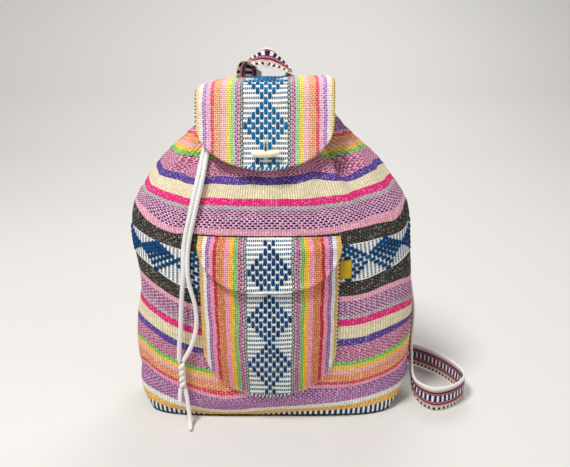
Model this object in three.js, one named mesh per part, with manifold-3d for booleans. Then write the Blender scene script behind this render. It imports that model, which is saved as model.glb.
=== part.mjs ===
// A hand-woven backpack: a gathered drawstring bag with a cloth flap, a front pocket and band straps.
// Millimetres, +Z up. The bag stands on z = 0 with its front towards -Y, its side seams at y = 0.
import * as THREE from "three";
import { mergeVertices } from "three/addons/utils/BufferGeometryUtils.js";
import Module from "manifold-3d";

const wasm = await Module();
wasm.setup();

// Cloth and clearances
const CLOTH = 2.2;
const FLAP_CLOTH = 3;
const SEAM_GAP = 0.3;
const SEWN_GAP = 0.5;

// Bag body
const BAG_HEIGHT = 366;
const BASE_WIDTH = 290;
const BASE_DEPTH = 112;
const ROLL_HEIGHT = 0.071 * BAG_HEIGHT;
const BELLY_WIDTH = 322;
const BELLY_FRONT = 77;
const BELLY_BACK = 58;
const BELLY_HEIGHT = 0.437 * BAG_HEIGHT;
const SHOULDER_HEIGHT = 0.634 * BAG_HEIGHT;
const SHOULDER_WIDTH = 314;
const SLOPE_HEIGHT = 0.776 * BAG_HEIGHT;
const SLOPE_WIDTH = 250;
const NECK_HEIGHT = 0.956 * BAG_HEIGHT;
const NECK_WIDTH = 124;
const NECK_DEPTH = 56;
const MOUTH_WIDTH = 122;
const MOUTH_DEPTH = 62;
const SIDE_SAG = 6;
const SIDE_SAG_TOP = 0.55 * BAG_HEIGHT;

// Gathers drawn up by the cord, fading out below the shoulders
const GATHER_DEPTH = 6.5;
const GATHER_FADE_HEIGHT = 0.623 * BAG_HEIGHT;
const FOLDS_PER_PANEL = 8;

// Flap over the mouth
const FLAP_WIDTH = 140;
const FLAP_SHIFT = -3;
const FLAP_BOTTOM = 0.792 * BAG_HEIGHT;
const FLAP_ROUND = 50;
const FLAP_STANDOFF = 6;
const FLAP_HEADROOM = 5;
const FLAP_SEAM_HEIGHT = 0.836 * BAG_HEIGHT;
const FLAP_BOW = 9;

// Front pocket and its own flap
const POCKET_WIDTH = 146;
const POCKET_MOUTH = 0.582 * BAG_HEIGHT;
const POCKET_BOTTOM = 0.09 * BAG_HEIGHT;
const POCKET_ROUND = 64;
const POCKET_BULGE = 13;
const POCKET_MOUTH_BULGE = 7;
const POCKET_FLAP_TOP = 0.604 * BAG_HEIGHT;
const POCKET_FLAP_BOTTOM = 0.452 * BAG_HEIGHT;
const POCKET_FLAP_ROUND = 44;
const POCKET_FLAP_OVERLAP = 0.6;
const POCKET_FLAP_LAY = 1.2;

// Blank woven label sewn in beside the pocket
const LABEL_WIDTH = 13;
const LABEL_HEIGHT = 21;
const LABEL_THICKNESS = 0.8;
const LABEL_CENTRE_HEIGHT = 0.504 * BAG_HEIGHT;

// Woven bands: two shoulder straps and a hanging loop
const BAND_WIDTH = 30;
const BAND_THICKNESS = 2.2;
const STRAP_TOP_SPACING = 104;
const STRAP_SEWN_LENGTH = 26;
const LOOP_FOOT_SPACING = 0.4 * STRAP_TOP_SPACING;
const LOOP_TOP = 1.082 * BAG_HEIGHT;
const LOOP_TILT = THREE.MathUtils.degToRad(32);
const LOOP_RIDGE = 8;

// Bone toggle on its cord, and the buttonhole that it passes through
const TOGGLE_LENGTH = 30;
const TOGGLE_RADIUS = 4.2;
const TOGGLE_TIP_RADIUS = 1.6;
const TOGGLE_WAIST_RADIUS = 3.1;
const TOGGLE_WAIST_WIDTH = 3;
const WHIPPING_RADIUS = 0.9;
const TOGGLE_CORD_RADIUS = 1.3;
const BUTTONHOLE_LENGTH = 18;
const BUTTONHOLE_WIDTH = 4;
const TOGGLE_CLEARANCE = 0.5;
const TOGGLE_HEIGHT = FLAP_BOTTOM + 0.8 * BUTTONHOLE_LENGTH;

// Drawstring
const CORD_RADIUS = 2.5;
const CORD_SLIT_CLEARANCE = 1;
const CORD_SIDES = 8;
const KNOT_RADIUS = 6.5;
const KNOT_LENGTH = 30;

// Facets
const COLUMNS_PER_FOLD = 4;
const PANEL_COLUMNS = COLUMNS_PER_FOLD * FOLDS_PER_PANEL;

const FRONT = -1;
const BACK = 1;

const vector = (x, y, z) => new THREE.Vector3(x, y, z);

// The bag's level sections from the base up: half width, depth in front of and behind the side seams,
// and how square the corners are, where 2 is an ellipse. The last number is the rows of facets below it.
const station = (height, half, front, back, square, rows) => ({ height, half, front, back, square, rows });
const STATIONS = [
  station(CLOTH + SEAM_GAP, BASE_WIDTH / 2, BASE_DEPTH / 2, BASE_DEPTH / 2, 5, 0),
  station(ROLL_HEIGHT, 0.494 * BELLY_WIDTH, 0.935 * BELLY_FRONT, BELLY_BACK, 2.8, 3),
  station(BELLY_HEIGHT, BELLY_WIDTH / 2, BELLY_FRONT, BELLY_BACK, 2.4, 3),
  station(SHOULDER_HEIGHT, SHOULDER_WIDTH / 2, 0.948 * BELLY_FRONT, 0.966 * BELLY_BACK, 2.2, 2),
  station(SLOPE_HEIGHT, SLOPE_WIDTH / 2, 0.78 * BELLY_FRONT, 0.862 * BELLY_BACK, 2.1, 3),
  station(NECK_HEIGHT, NECK_WIDTH / 2, NECK_DEPTH / 2, NECK_DEPTH / 2, 2, 5),
  station(BAG_HEIGHT, MOUTH_WIDTH / 2, MOUTH_DEPTH / 2, MOUTH_DEPTH / 2, 2, 2),
];

// A smooth curve through the stations' values that never overshoots between two of them.
function throughStations(key) {
  const x = STATIONS.map((s) => s.height);
  const y = STATIONS.map((s) => s[key]);
  const slope = y.slice(1).map((value, i) => (value - y[i]) / (x[i + 1] - x[i]));
  const tangent = y.map((_, i) => {
    const before = slope[i - 1] ?? slope[i];
    const after = slope[i] ?? before;
    return before * after <= 0 ? 0 : (2 * before * after) / (before + after);
  });
  return (height) => {
    const h = THREE.MathUtils.clamp(height, x[0], x[x.length - 1]);
    const above = x.findIndex((value) => value > h);
    const i = (above < 0 ? x.length - 1 : above) - 1;
    const step = x[i + 1] - x[i];
    const t = (h - x[i]) / step;
    const a = (1 + 2 * t) * (1 - t) ** 2 * y[i] + t * (1 - t) ** 2 * step * tangent[i];
    const b = t * t * (3 - 2 * t) * y[i + 1] + t * t * (t - 1) * step * tangent[i + 1];
    return a + b;
  };
}

const halfAt = throughStations("half");
const frontAt = throughStations("front");
const backAt = throughStations("back");
const squareAt = throughStations("square");

function gatherAt(height) {
  const rise = (height - GATHER_FADE_HEIGHT) / (NECK_HEIGHT - GATHER_FADE_HEIGHT);
  return GATHER_DEPTH * THREE.MathUtils.clamp(rise, 0, 1) ** 1.5;
}

// The bag leans on its right side, which is fuller near the ground than the left one.
function sideAt(height, x) {
  const share = THREE.MathUtils.clamp(height / SIDE_SAG_TOP, 0, 1);
  return halfAt(height) + (x > 0 ? SIDE_SAG * Math.sin(Math.PI * share) ** 2 : 0);
}

// A point of the bag's skin. Across runs from 0 at the left side seam to 1 at the right one.
function skin(side, across, height, inset = 0, gather = gatherAt(height)) {
  const depth = (side === FRONT ? frontAt(height) : backAt(height)) - inset;
  const square = squareAt(height);
  const turn = Math.PI * across;
  const evenSpread = BELLY_FRONT / halfAt(BELLY_HEIGHT);
  const angle = Math.atan2(Math.sin(turn), -Math.cos(turn) / Math.sqrt(evenSpread));
  const [c, s] = [Math.cos(angle), Math.sin(angle)];
  const half = sideAt(height, c) - inset;
  const oval = ((Math.abs(c) / half) ** square + (Math.abs(s) / depth) ** square) ** (-1 / square);
  const radius = oval + gather * Math.cos(2 * Math.PI * FOLDS_PER_PANEL * across);
  return vector(radius * c, side * (radius * s + SEAM_GAP / 2), height);
}

// A point at a distance in front of (or behind) the ungathered skin, found from x and the height.
function onSkin(side, x, height, stand) {
  const depthOf = (px, pz) => {
    const share = Math.min(Math.abs(px) / sideAt(pz, px), 0.98) ** squareAt(pz);
    return (side === FRONT ? frontAt(pz) : backAt(pz)) * (1 - share) ** (1 / squareAt(pz)) + SEAM_GAP / 2;
  };
  const slopeX = depthOf(x + 0.5, height) - depthOf(x - 0.5, height);
  const slopeZ = depthOf(x, height + 0.5) - depthOf(x, height - 0.5);
  const outward = vector(-slopeX, side, -slopeZ).normalize();
  return vector(x, side * depthOf(x, height), height).addScaledVector(outward, stand);
}

// A closed sheet on a grid: place(u, v, face) gives its points, where face is 1 on the outside and 0 inside.
function sheetGeometry(columns, rows, place) {
  const positions = [];
  const indices = [];
  const at = (face, i, j) => (face * (columns + 1) + i) * (rows + 1) + j;
  for (const face of [0, 1]) {
    for (let i = 0; i <= columns; i++) {
      for (let j = 0; j <= rows; j++) {
        positions.push(...place(i / columns, j / rows, face).toArray());
      }
    }
  }
  const quad = (a, b, c, d) => indices.push(a, b, c, a, c, d);
  for (let i = 0; i < columns; i++) {
    for (let j = 0; j < rows; j++) {
      quad(at(1, i, j), at(1, i + 1, j), at(1, i + 1, j + 1), at(1, i, j + 1));
      quad(at(0, i, j), at(0, i, j + 1), at(0, i + 1, j + 1), at(0, i + 1, j));
    }
    quad(at(0, i, 0), at(0, i + 1, 0), at(1, i + 1, 0), at(1, i, 0));
    quad(at(1, i, rows), at(1, i + 1, rows), at(0, i + 1, rows), at(0, i, rows));
  }
  for (let j = 0; j < rows; j++) {
    quad(at(1, 0, j), at(1, 0, j + 1), at(0, 0, j + 1), at(0, 0, j));
    quad(at(0, columns, j), at(0, columns, j + 1), at(1, columns, j + 1), at(1, columns, j));
  }
  const geometry = new THREE.BufferGeometry();
  geometry.setAttribute("position", new THREE.Float32BufferAttribute(positions, 3));
  geometry.setIndex(indices);
  return facingOut(geometry);
}

// Turns a closed geometry's faces round if they point inwards.
function facingOut(geometry) {
  const position = geometry.getAttribute("position");
  const index = geometry.getIndex().array;
  const corner = (i) => new THREE.Vector3().fromBufferAttribute(position, index[i]);
  let volume = 0;
  for (let i = 0; i < index.length; i += 3) {
    volume += corner(i).dot(corner(i + 1).cross(corner(i + 2)));
  }
  if (volume < 0) {
    for (let i = 0; i < index.length; i += 3) {
      [index[i + 1], index[i + 2]] = [index[i + 2], index[i + 1]];
    }
  }
  return geometry;
}

function solidOf(geometry) {
  const bare = geometry.clone();
  bare.deleteAttribute("normal");
  bare.deleteAttribute("uv");
  const merged = mergeVertices(bare, 1e-3);
  const mesh = new wasm.Mesh({
    numProp: 3,
    vertProperties: merged.getAttribute("position").array,
    triVerts: new Uint32Array(merged.getIndex().array),
  });
  return new wasm.Manifold(mesh);
}

function cut(geometry, ...cutters) {
  const solid = cutters.reduce((left, cutter) => left.subtract(solidOf(cutter)), solidOf(geometry));
  const mesh = solid.getMesh();
  const result = new THREE.BufferGeometry();
  result.setAttribute("position", new THREE.BufferAttribute(mesh.vertProperties, 3));
  result.setIndex(new THREE.BufferAttribute(mesh.triVerts, 1));
  return result;
}

function tubeGeometry(points, radius, steps, sides = CORD_SIDES) {
  const round = new THREE.Shape();
  round.absarc(0, 0, radius, 0, 2 * Math.PI);
  const section = new THREE.Shape(round.getSpacedPoints(sides).slice(0, sides));
  const path = new THREE.CatmullRomCurve3(points, false, "centripetal");
  return new THREE.ExtrudeGeometry(section, { steps, extrudePath: path });
}

const backpack = new THREE.Group();

function addPiece(name, geometry, material) {
  const mesh = new THREE.Mesh(geometry, material);
  mesh.name = name;
  backpack.add(mesh);
  return mesh;
}

const cloth = (color) => new THREE.MeshStandardMaterial({ color, roughness: 0.95, metalness: 0 });
const BODY_CLOTH = cloth(0xc06a9a);
const BASE_CLOTH = cloth(0x2f6f9f);
const FLAP_WEAVE = cloth(0xe39a78);
const BAND_WEAVE = cloth(0xd8c8cf);
const LABEL_WEAVE = cloth(0xd0a820);
const COTTON_CORD = cloth(0xf0eeea);
const BONE = new THREE.MeshStandardMaterial({ color: 0xefe2bd, roughness: 0.45, metalness: 0 });

// Base: one flat piece of cloth, as wide as the foot of the panels that are sewn to its edge.
function baseGeometry() {
  const foot = STATIONS[0].height;
  const around = [];
  for (const side of [FRONT, BACK]) {
    for (let i = 0; i < PANEL_COLUMNS; i++) {
      const across = side === FRONT ? i / PANEL_COLUMNS : 1 - i / PANEL_COLUMNS;
      const p = skin(side, across, foot);
      around.push(new THREE.Vector2(p.x, p.y));
    }
  }
  return new THREE.ExtrudeGeometry(new THREE.Shape(around), { depth: CLOTH, bevelEnabled: false });
}

// Front and back panels: two pieces of cloth that meet at the side seams, gathered towards the mouth.
const rowHeights = STATIONS.flatMap(({ height, rows }, i) => {
  if (i === 0) return [height];
  const below = STATIONS[i - 1].height;
  return Array.from({ length: rows }, (_, j) => below + ((j + 1) * (height - below)) / rows);
});

function panelGeometry(side) {
  const rows = rowHeights.length - 1;
  return sheetGeometry(PANEL_COLUMNS, rows, (u, v, face) =>
    skin(side, u, rowHeights[Math.round(v * rows)], face ? 0 : CLOTH),
  );
}

// The drawstring's own run: it starts in one valley of the front gathers, is threaded through the folds
// right round the neck, and comes out again in the next valley.
const FIRST_VALLEY = 1.5 / FOLDS_PER_PANEL;
const NEXT_VALLEY = 2.5 / FOLDS_PER_PANEL;
const QUARTER_FOLD = 0.25 / FOLDS_PER_PANEL;
const RUN_POINTS_PER_PANEL = 24;
const CORD_LAY = CORD_RADIUS + SEWN_GAP;
const EXIT_HEIGHT = NECK_HEIGHT - 7.2 * CORD_RADIUS;

// Where a free end comes out of a valley, down over the crests on either side of it.
function cordExit(valley) {
  const bend = skin(FRONT, valley, NECK_HEIGHT - 1.2 * CORD_RADIUS, -CORD_RADIUS, 0);
  const shoulder = skin(FRONT, valley, NECK_HEIGHT - 3.6 * CORD_RADIUS, -GATHER_DEPTH, 0);
  const end = skin(FRONT, valley, EXIT_HEIGHT, -gatherAt(EXIT_HEIGHT) - CORD_LAY, 0);
  const onward = end.clone().sub(shoulder).normalize();
  const beyond = (distance) => end.clone().addScaledVector(onward, distance);
  return { held: [bend, shoulder, end], free: [beyond(SEAM_GAP), beyond(CORD_RADIUS)] };
}

const firstExit = cordExit(FIRST_VALLEY);
const nextExit = cordExit(NEXT_VALLEY);

function neckRun() {
  const points = [...firstExit.held].reverse();
  const walk = (side, from, to) => {
    const count = Math.ceil(Math.abs(to - from) * RUN_POINTS_PER_PANEL);
    for (let i = 0; i < count; i++) {
      points.push(skin(side, from + ((to - from) * i) / count, NECK_HEIGHT, 0, 0));
    }
  };
  walk(FRONT, FIRST_VALLEY - QUARTER_FOLD, 0);
  walk(BACK, 0, 1);
  walk(FRONT, 1, NEXT_VALLEY + QUARTER_FOLD);
  points.push(...nextExit.held);
  return points;
}

const SLIT_SIDES = 6;
const RUN_STEPS = 44;
const cordPassage = tubeGeometry(neckRun(), CORD_RADIUS + CORD_SLIT_CLEARANCE, RUN_STEPS, SLIT_SIDES);

// Flap: doubled cloth sewn to the back panel, carried over the mouth and down the front.
function flapProfile() {
  const crest = (depth, height) => depth + gatherAt(height) + SEAM_GAP / 2 + FLAP_CLOTH / 2;
  const brow = crest(MOUTH_DEPTH / 2, BAG_HEIGHT) + FLAP_HEADROOM;
  const browHeight = BAG_HEIGHT - FLAP_HEADROOM;
  const ridge = BAG_HEIGHT + FLAP_HEADROOM + FLAP_CLOTH / 2;
  const seam = vector(0, crest(backAt(FLAP_SEAM_HEIGHT), FLAP_SEAM_HEIGHT) + SEWN_GAP, FLAP_SEAM_HEIGHT);
  const backBrow = vector(0, brow, browHeight);
  const frontBrow = vector(0, -brow, browHeight);
  const end = vector(0, -crest(frontAt(FLAP_BOTTOM), FLAP_BOTTOM) - FLAP_STANDOFF, FLAP_BOTTOM);
  const between = (from, to, share) => from.clone().lerp(to, share);
  const points = [
    seam,
    between(seam, backBrow, 0.3),
    between(seam, backBrow, 0.7),
    backBrow,
    vector(0, 0.8 * brow, ridge - 1),
    vector(0, 0, ridge),
    vector(0, -0.8 * brow, ridge - 1),
    frontBrow,
    between(frontBrow, end, 0.3),
    between(frontBrow, end, 0.7),
    end,
  ];
  return new THREE.CatmullRomCurve3(points, false, "centripetal");
}

const flapCurve = flapProfile();
const flapLength = flapCurve.getLength();

// A point of the flap: along runs from 0 at the back seam to 1 at the front edge, on its middle line.
function flapPoint(along, x, stand) {
  const tangent = flapCurve.getTangentAt(along);
  const outward = vector(0, tangent.z, -tangent.y);
  const bow = FLAP_BOW * Math.abs(2 * along - 1) * (x / (FLAP_WIDTH / 2)) ** 2;
  const p = flapCurve.getPointAt(along).addScaledVector(outward, stand - bow);
  return vector(x + FLAP_SHIFT, p.y, p.z);
}

const FLAP_COLUMNS = 12;
const FLAP_ROWS = 20;
const roundedEnd = (x, half, round) => round * (1 - Math.sqrt(Math.max(0, 1 - (x / half) ** 2)));

function flapGeometry() {
  const half = FLAP_WIDTH / 2;
  return sheetGeometry(FLAP_COLUMNS, FLAP_ROWS, (u, v, face) => {
    const x = -half * Math.cos(Math.PI * u);
    const end = 1 - roundedEnd(x, half, FLAP_ROUND) / flapLength;
    return flapPoint(v * end, x, (face - 0.5) * FLAP_CLOTH);
  });
}

// Where the toggle sits: its place on the flap's middle line, and the way that the flap faces there.
function toggleSeat() {
  let along = 1;
  while (flapCurve.getPointAt(along).z < TOGGLE_HEIGHT) along -= 0.001;
  const tangent = flapCurve.getTangentAt(along);
  const outward = vector(0, tangent.z, -tangent.y).normalize();
  const face = flapCurve.getPointAt(along).addScaledVector(outward, FLAP_CLOTH / 2);
  face.x = FLAP_SHIFT;
  return { face, outward };
}

const seat = toggleSeat();
const WHIPPING_RING = TOGGLE_WAIST_RADIUS + SEAM_GAP + WHIPPING_RADIUS;
const WHIPPING_REACH = WHIPPING_RING + WHIPPING_RADIUS;
const toggleCentre = seat.face.clone().addScaledVector(seat.outward, WHIPPING_REACH + TOGGLE_CLEARANCE);
const facingFlap = new THREE.Quaternion().setFromUnitVectors(vector(0, 0, 1), seat.outward);

// The buttonhole: its lower end lies just below the toggle's cord, which pulls it down.
function buttonholeCutter() {
  const [radius, reach] = [BUTTONHOLE_WIDTH / 2, (BUTTONHOLE_LENGTH - BUTTONHOLE_WIDTH) / 2];
  const slot = new THREE.Shape();
  slot.absarc(0, reach, radius, 0, Math.PI);
  slot.absarc(0, -reach, radius, Math.PI, 2 * Math.PI);
  const depth = 4 * FLAP_CLOTH;
  const rise = BUTTONHOLE_LENGTH / 2 - BUTTONHOLE_WIDTH;
  const geometry = new THREE.ExtrudeGeometry(slot, { depth, bevelEnabled: false, curveSegments: 6 });
  geometry.translate(0, rise, -depth / 2);
  return geometry.applyQuaternion(facingFlap).translate(...seat.face.toArray());
}

// Pocket: a round-ended patch sewn to the front at its sides and bottom, standing full in the middle.
function pocketStand(x, height) {
  const half = POCKET_WIDTH / 2;
  const share = Math.min(Math.abs(x) / half, 1);
  const bottom = POCKET_BOTTOM + roundedEnd(share * half, half, POCKET_ROUND);
  const fall = THREE.MathUtils.clamp((POCKET_MOUTH - height) / (POCKET_MOUTH - bottom), 0, 1);
  const fullness = POCKET_MOUTH_BULGE + (POCKET_BULGE - POCKET_MOUTH_BULGE) * Math.sin(Math.PI * fall);
  return SEWN_GAP + fullness * (1 - share ** 4) * (1 - fall ** 6);
}

const POCKET_COLUMNS = 16;
const POCKET_ROWS = 12;

function pocketGeometry() {
  const half = POCKET_WIDTH / 2;
  return sheetGeometry(POCKET_COLUMNS, POCKET_ROWS, (u, v, face) => {
    const x = -half * Math.cos(Math.PI * u);
    const bottom = POCKET_BOTTOM + roundedEnd(x, half, POCKET_ROUND);
    const height = POCKET_MOUTH + v * (bottom - POCKET_MOUTH);
    return onSkin(FRONT, x, height, pocketStand(x, height) + face * CLOTH);
  });
}

// Pocket flap: sewn to the front above the pocket's mouth and laid over the pocket.
const POCKET_FLAP_ROWS = 10;

function pocketFlapGeometry() {
  const half = POCKET_WIDTH / 2 + POCKET_FLAP_OVERLAP;
  return sheetGeometry(POCKET_COLUMNS, POCKET_FLAP_ROWS, (u, v, face) => {
    const x = -half * Math.cos(Math.PI * u);
    const bottom = POCKET_FLAP_BOTTOM + roundedEnd(x, half, POCKET_FLAP_ROUND);
    const height = POCKET_FLAP_TOP + v ** 1.4 * (bottom - POCKET_FLAP_TOP);
    const lift = THREE.MathUtils.smoothstep(POCKET_FLAP_TOP - height, 0, POCKET_FLAP_TOP - POCKET_MOUTH);
    const over = pocketStand(x, Math.min(height, POCKET_MOUTH)) + CLOTH + POCKET_FLAP_LAY;
    return onSkin(FRONT, x, height, SEWN_GAP + lift * (over - SEWN_GAP) + face * CLOTH);
  });
}

// Label: a small folded ribbon that stands out from the pocket's right edge, with nothing woven on it.
function labelGeometry() {
  const left = POCKET_WIDTH / 2 + POCKET_FLAP_OVERLAP + SEAM_GAP;
  return sheetGeometry(2, 2, (u, v, face) =>
    onSkin(
      FRONT,
      left + u * LABEL_WIDTH,
      LABEL_CENTRE_HEIGHT + (v - 0.5) * LABEL_HEIGHT,
      SEWN_GAP + face * LABEL_THICKNESS,
    ),
  );
}

// A band along a route of stops. Each stop has a point on the middle line and the way that one edge lies.
function bandGeometry(stops, steps, ridge = () => 0) {
  const line = new THREE.CatmullRomCurve3(stops.map((s) => s.at), false, "centripetal");
  const edges = new THREE.CatmullRomCurve3(stops.map((s) => s.edge), false, "catmullrom");
  return sheetGeometry(steps, 2, (u, v, face) => {
    const tangent = line.getTangent(u);
    const edge = edges.getPoint(u);
    edge.addScaledVector(tangent, -edge.dot(tangent)).normalize();
    const normal = new THREE.Vector3().crossVectors(edge, tangent);
    const crown = ridge(u) * (v === 0.5 ? 1 : 0);
    const p = line.getPoint(u).addScaledVector(edge, (v - 0.5) * BAND_WIDTH);
    return p.addScaledVector(normal, crown + (face - 0.5) * BAND_THICKNESS);
  });
}

const BAND_SEAT = FLAP_CLOTH / 2 + SEWN_GAP + BAND_THICKNESS / 2;

// A stop on the outside of the flap's back, where the bands are sewn.
function bandSeat(along, x, edgeSign, lift = 0) {
  const reach = BAND_WIDTH / 2;
  const edge = flapPoint(along, x + reach, 0).sub(flapPoint(along, x - reach, 0)).normalize();
  return { at: flapPoint(along, x, BAND_SEAT + lift), edge: edge.multiplyScalar(edgeSign) };
}

const SEWN_SHARE = STRAP_SEWN_LENGTH / flapLength;
const ON_EDGE = vector(0, 0, 1);
const STANDING = 0.537 * BAND_WIDTH;
const STRAP_ANCHOR_STAND = SEWN_GAP + 1.6 * BAND_THICKNESS;

// The stops that both straps share: sewn at the top of the back, and sewn again at a lower back corner.
const strapTop = (hand) => [
  bandSeat(SEWN_SHARE, (hand * STRAP_TOP_SPACING) / 2, hand),
  bandSeat(SEWN_SHARE / 2, (hand * STRAP_TOP_SPACING) / 2, hand),
  bandSeat(0, (hand * STRAP_TOP_SPACING) / 2, hand, SEWN_GAP),
];
const strapAnchor = (hand) => [
  { at: onSkin(BACK, hand * 0.41 * BASE_WIDTH, STANDING, STRAP_ANCHOR_STAND), edge: ON_EDGE },
  { at: onSkin(BACK, hand * 0.34 * BASE_WIDTH, STANDING, STRAP_ANCHOR_STAND), edge: ON_EDGE },
];

// Places on the straps' way: behind the back by its height and standing off in band widths, on the ground
// beside the bag by band widths out from its side, forward of its seam and up.
const behind = (x, level, stand) => onSkin(BACK, x * BELLY_WIDTH, level * BAG_HEIGHT, stand * BAND_WIDTH);
const beside = (out, forward, up) =>
  vector(BELLY_WIDTH / 2 + out * BAND_WIDTH, -forward * BAND_WIDTH, up * BAND_WIDTH);
const farBehind = (x, beyond, up) =>
  vector(x * BELLY_WIDTH, BELLY_BACK + beyond * BAND_WIDTH, up * BAND_WIDTH);
const STANDS = STANDING / BAND_WIDTH;

// Right strap: it comes down behind the right side, turns out over the ground in front of it on its edge,
// and doubles back to the corner of the base.
const rightStrap = [
  ...strapTop(1),
  { at: behind(0.25, 0.672, 0.73), edge: vector(0.95, -0.2, 0.1) },
  { at: behind(0.41, 0.492, 0.86), edge: vector(0.85, -0.5, 0.1) },
  { at: beside(0.44, -1.4, 3.5), edge: vector(0.05, -1, 0.1) },
  { at: beside(0.31, -0.07, 1.67), edge: vector(-0.1, -0.9, 0.5) },
  { at: beside(0.36, 1.0, 0.62), edge: vector(-0.1, -0.25, 0.97) },
  { at: beside(0.9, 1.7, STANDS), edge: ON_EDGE },
  { at: beside(1.77, 1.44, STANDS), edge: ON_EDGE },
  { at: beside(2.37, 0.67, STANDS), edge: ON_EDGE },
  { at: beside(2.17, -0.3, STANDS), edge: ON_EDGE },
  { at: beside(1.47, -1.33, STANDS), edge: ON_EDGE },
  { at: beside(0.47, -2, STANDS), edge: ON_EDGE },
  ...strapAnchor(1),
];

// Left strap: it hangs behind the back and lies in a bight on the ground there.
const leftStrap = [
  ...strapTop(-1),
  { at: behind(-0.24, 0.656, 0.67), edge: vector(-0.98, -0.15, 0.1) },
  { at: behind(-0.29, 0.41, 0.86), edge: vector(-0.95, 0.2, 0.1) },
  { at: behind(-0.3, 0.191, 0.86), edge: vector(-0.8, 0.5, 0.2) },
  { at: farBehind(-0.27, 1.26, 0.79), edge: vector(-0.25, 0.3, 0.9) },
  { at: farBehind(-0.24, 3.06, STANDS), edge: ON_EDGE },
  { at: farBehind(-0.36, 4.14, STANDS), edge: ON_EDGE },
  { at: farBehind(-0.48, 3.27, STANDS), edge: ON_EDGE },
  { at: farBehind(-0.49, 1.33, STANDS), edge: ON_EDGE },
  { at: farBehind(-0.45, 0.2, STANDS), edge: ON_EDGE },
  ...strapAnchor(-1),
];

// Hanging loop: the band's feet lie flat on the flap's back. At the top it turns over on itself, leans
// forward and is creased along its middle, and its left shoulder stands higher than the right one.
function hangingLoop() {
  const foot = LOOP_FOOT_SPACING / 2;
  const left = [0.01, SEWN_SHARE, 1.9 * SEWN_SHARE].map((along) => bandSeat(along, -foot, -1));
  const right = [1.9 * SEWN_SHARE, SEWN_SHARE, 0.01].map((along) => bandSeat(along, foot, 1));
  const [spring, arc] = [left[2].at, []];
  for (const share of [0.22, 0.38, 0.5, 0.62, 0.78]) {
    const turn = Math.PI * share;
    const forward = 0.11 * BAND_WIDTH * Math.sin(turn);
    const rise = (LOOP_TOP - spring.z) * Math.sin(turn) ** (share < 0.5 ? 0.4 : 0.8);
    const at = vector(FLAP_SHIFT - foot * Math.cos(turn), spring.y - forward, spring.z + rise);
    const tipped = Math.sin(turn) * Math.sin(LOOP_TILT);
    const ahead = Math.sin(turn) * Math.cos(LOOP_TILT);
    arc.push({ at, edge: vector(-Math.cos(turn), -ahead, -tipped) });
  }
  return [...left, ...arc, ...right];
}

const loopRidge = (u) => LOOP_RIDGE * Math.max(0, Math.sin(Math.PI * u)) ** 8;

// Toggle: a turned bone spindle with a waist for its cord, lying across the buttonhole.
function toggleGeometry() {
  const half = TOGGLE_LENGTH / 2;
  const waist = TOGGLE_WAIST_WIDTH / 2;
  const profile = [
    [0, -half],
    [TOGGLE_TIP_RADIUS, -half + 0.6],
    [0.72 * TOGGLE_RADIUS, -0.74 * half],
    [TOGGLE_RADIUS, -0.4 * half],
    [TOGGLE_RADIUS, -waist - 1.2],
    [TOGGLE_WAIST_RADIUS, -waist],
  ];
  const mirrored = profile.map(([r, along]) => [r, -along]).reverse();
  const outline = [...profile, ...mirrored].map(([r, along]) => new THREE.Vector2(r, along));
  return new THREE.LatheGeometry(outline, 14).rotateZ(-Math.PI / 2);
}

// The toggle's cord: a short tether from the front of the bag, out through the buttonhole.
function tetherGeometry() {
  const backOff = (distance) => toggleCentre.clone().addScaledVector(seat.outward, -distance);
  const skinY = (p) => -frontAt(p.z) - gatherAt(p.z) - SEAM_GAP / 2 - SEWN_GAP;
  const end = WHIPPING_REACH + SEAM_GAP;
  let start = end;
  while (backOff(start).y < skinY(backOff(start))) start += 0.05;
  return tubeGeometry([backOff(start), backOff(end)], TOGGLE_CORD_RADIUS, 1);
}

// The drawstring's free ends lie on the front, then hang, and are tied together near the ground.
// Their places are shares of the bag's half width and of its height.
const HALF_WIDTH = BELLY_WIDTH / 2;
const lying = (x, level) =>
  onSkin(FRONT, x * HALF_WIDTH, level * BAG_HEIGHT, gatherAt(level * BAG_HEIGHT) + CORD_LAY);
const HANGING_Y = lying(-0.4845, 0.41).y;
const KNOT_X = -0.6056 * HALF_WIDTH;
const KNOT_TOP = 0.2077 * BAG_HEIGHT;
const KNOT_BOTTOM = KNOT_TOP - KNOT_LENGTH;
const STRAND_APART = CORD_RADIUS + SEAM_GAP / 2;
const hanging = (x, level) => vector(x * HALF_WIDTH, HANGING_Y, level * BAG_HEIGHT);
const byKnot = (hand, height) => vector(KNOT_X + hand * STRAND_APART, HANGING_Y, height);
const belowKnot = (x, forward, height) =>
  vector(KNOT_X + x * CORD_RADIUS, HANGING_Y - forward * CORD_RADIUS, height * CORD_RADIUS);

const leftEnd = [
  ...firstExit.free,
  lying(-0.366, 0.874),
  lying(-0.4, 0.839),
  lying(-0.453, 0.754),
  lying(-0.509, 0.6585),
  lying(-0.553, 0.571),
  hanging(-0.568, 0.4836),
  hanging(-0.587, 0.3907),
  hanging(-0.602, 0.3087),
  hanging(-0.615, 0.2623),
  byKnot(-1, KNOT_TOP + CORD_RADIUS),
  byKnot(-1, KNOT_TOP + SEAM_GAP),
];

const rightEnd = [
  ...nextExit.free,
  lying(-0.298, 0.874),
  lying(-0.357, 0.839),
  lying(-0.416, 0.754),
  lying(-0.472, 0.6585),
  lying(-0.5155, 0.571),
  hanging(-0.525, 0.4836),
  hanging(-0.494, 0.3907),
  hanging(-0.494, 0.325),
  hanging(-0.534, 0.2623),
  byKnot(1, KNOT_TOP + CORD_RADIUS),
  byKnot(1, KNOT_TOP + SEAM_GAP),
];

const longTail = [
  byKnot(1, KNOT_BOTTOM - SEAM_GAP),
  byKnot(1, KNOT_BOTTOM - CORD_RADIUS),
  belowKnot(1.8, 0.6, 12),
  belowKnot(2.6, 2, 5.2),
  belowKnot(3.2, 4.4, 1.4),
  belowKnot(3.6, 7.6, 1.12),
];

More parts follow.
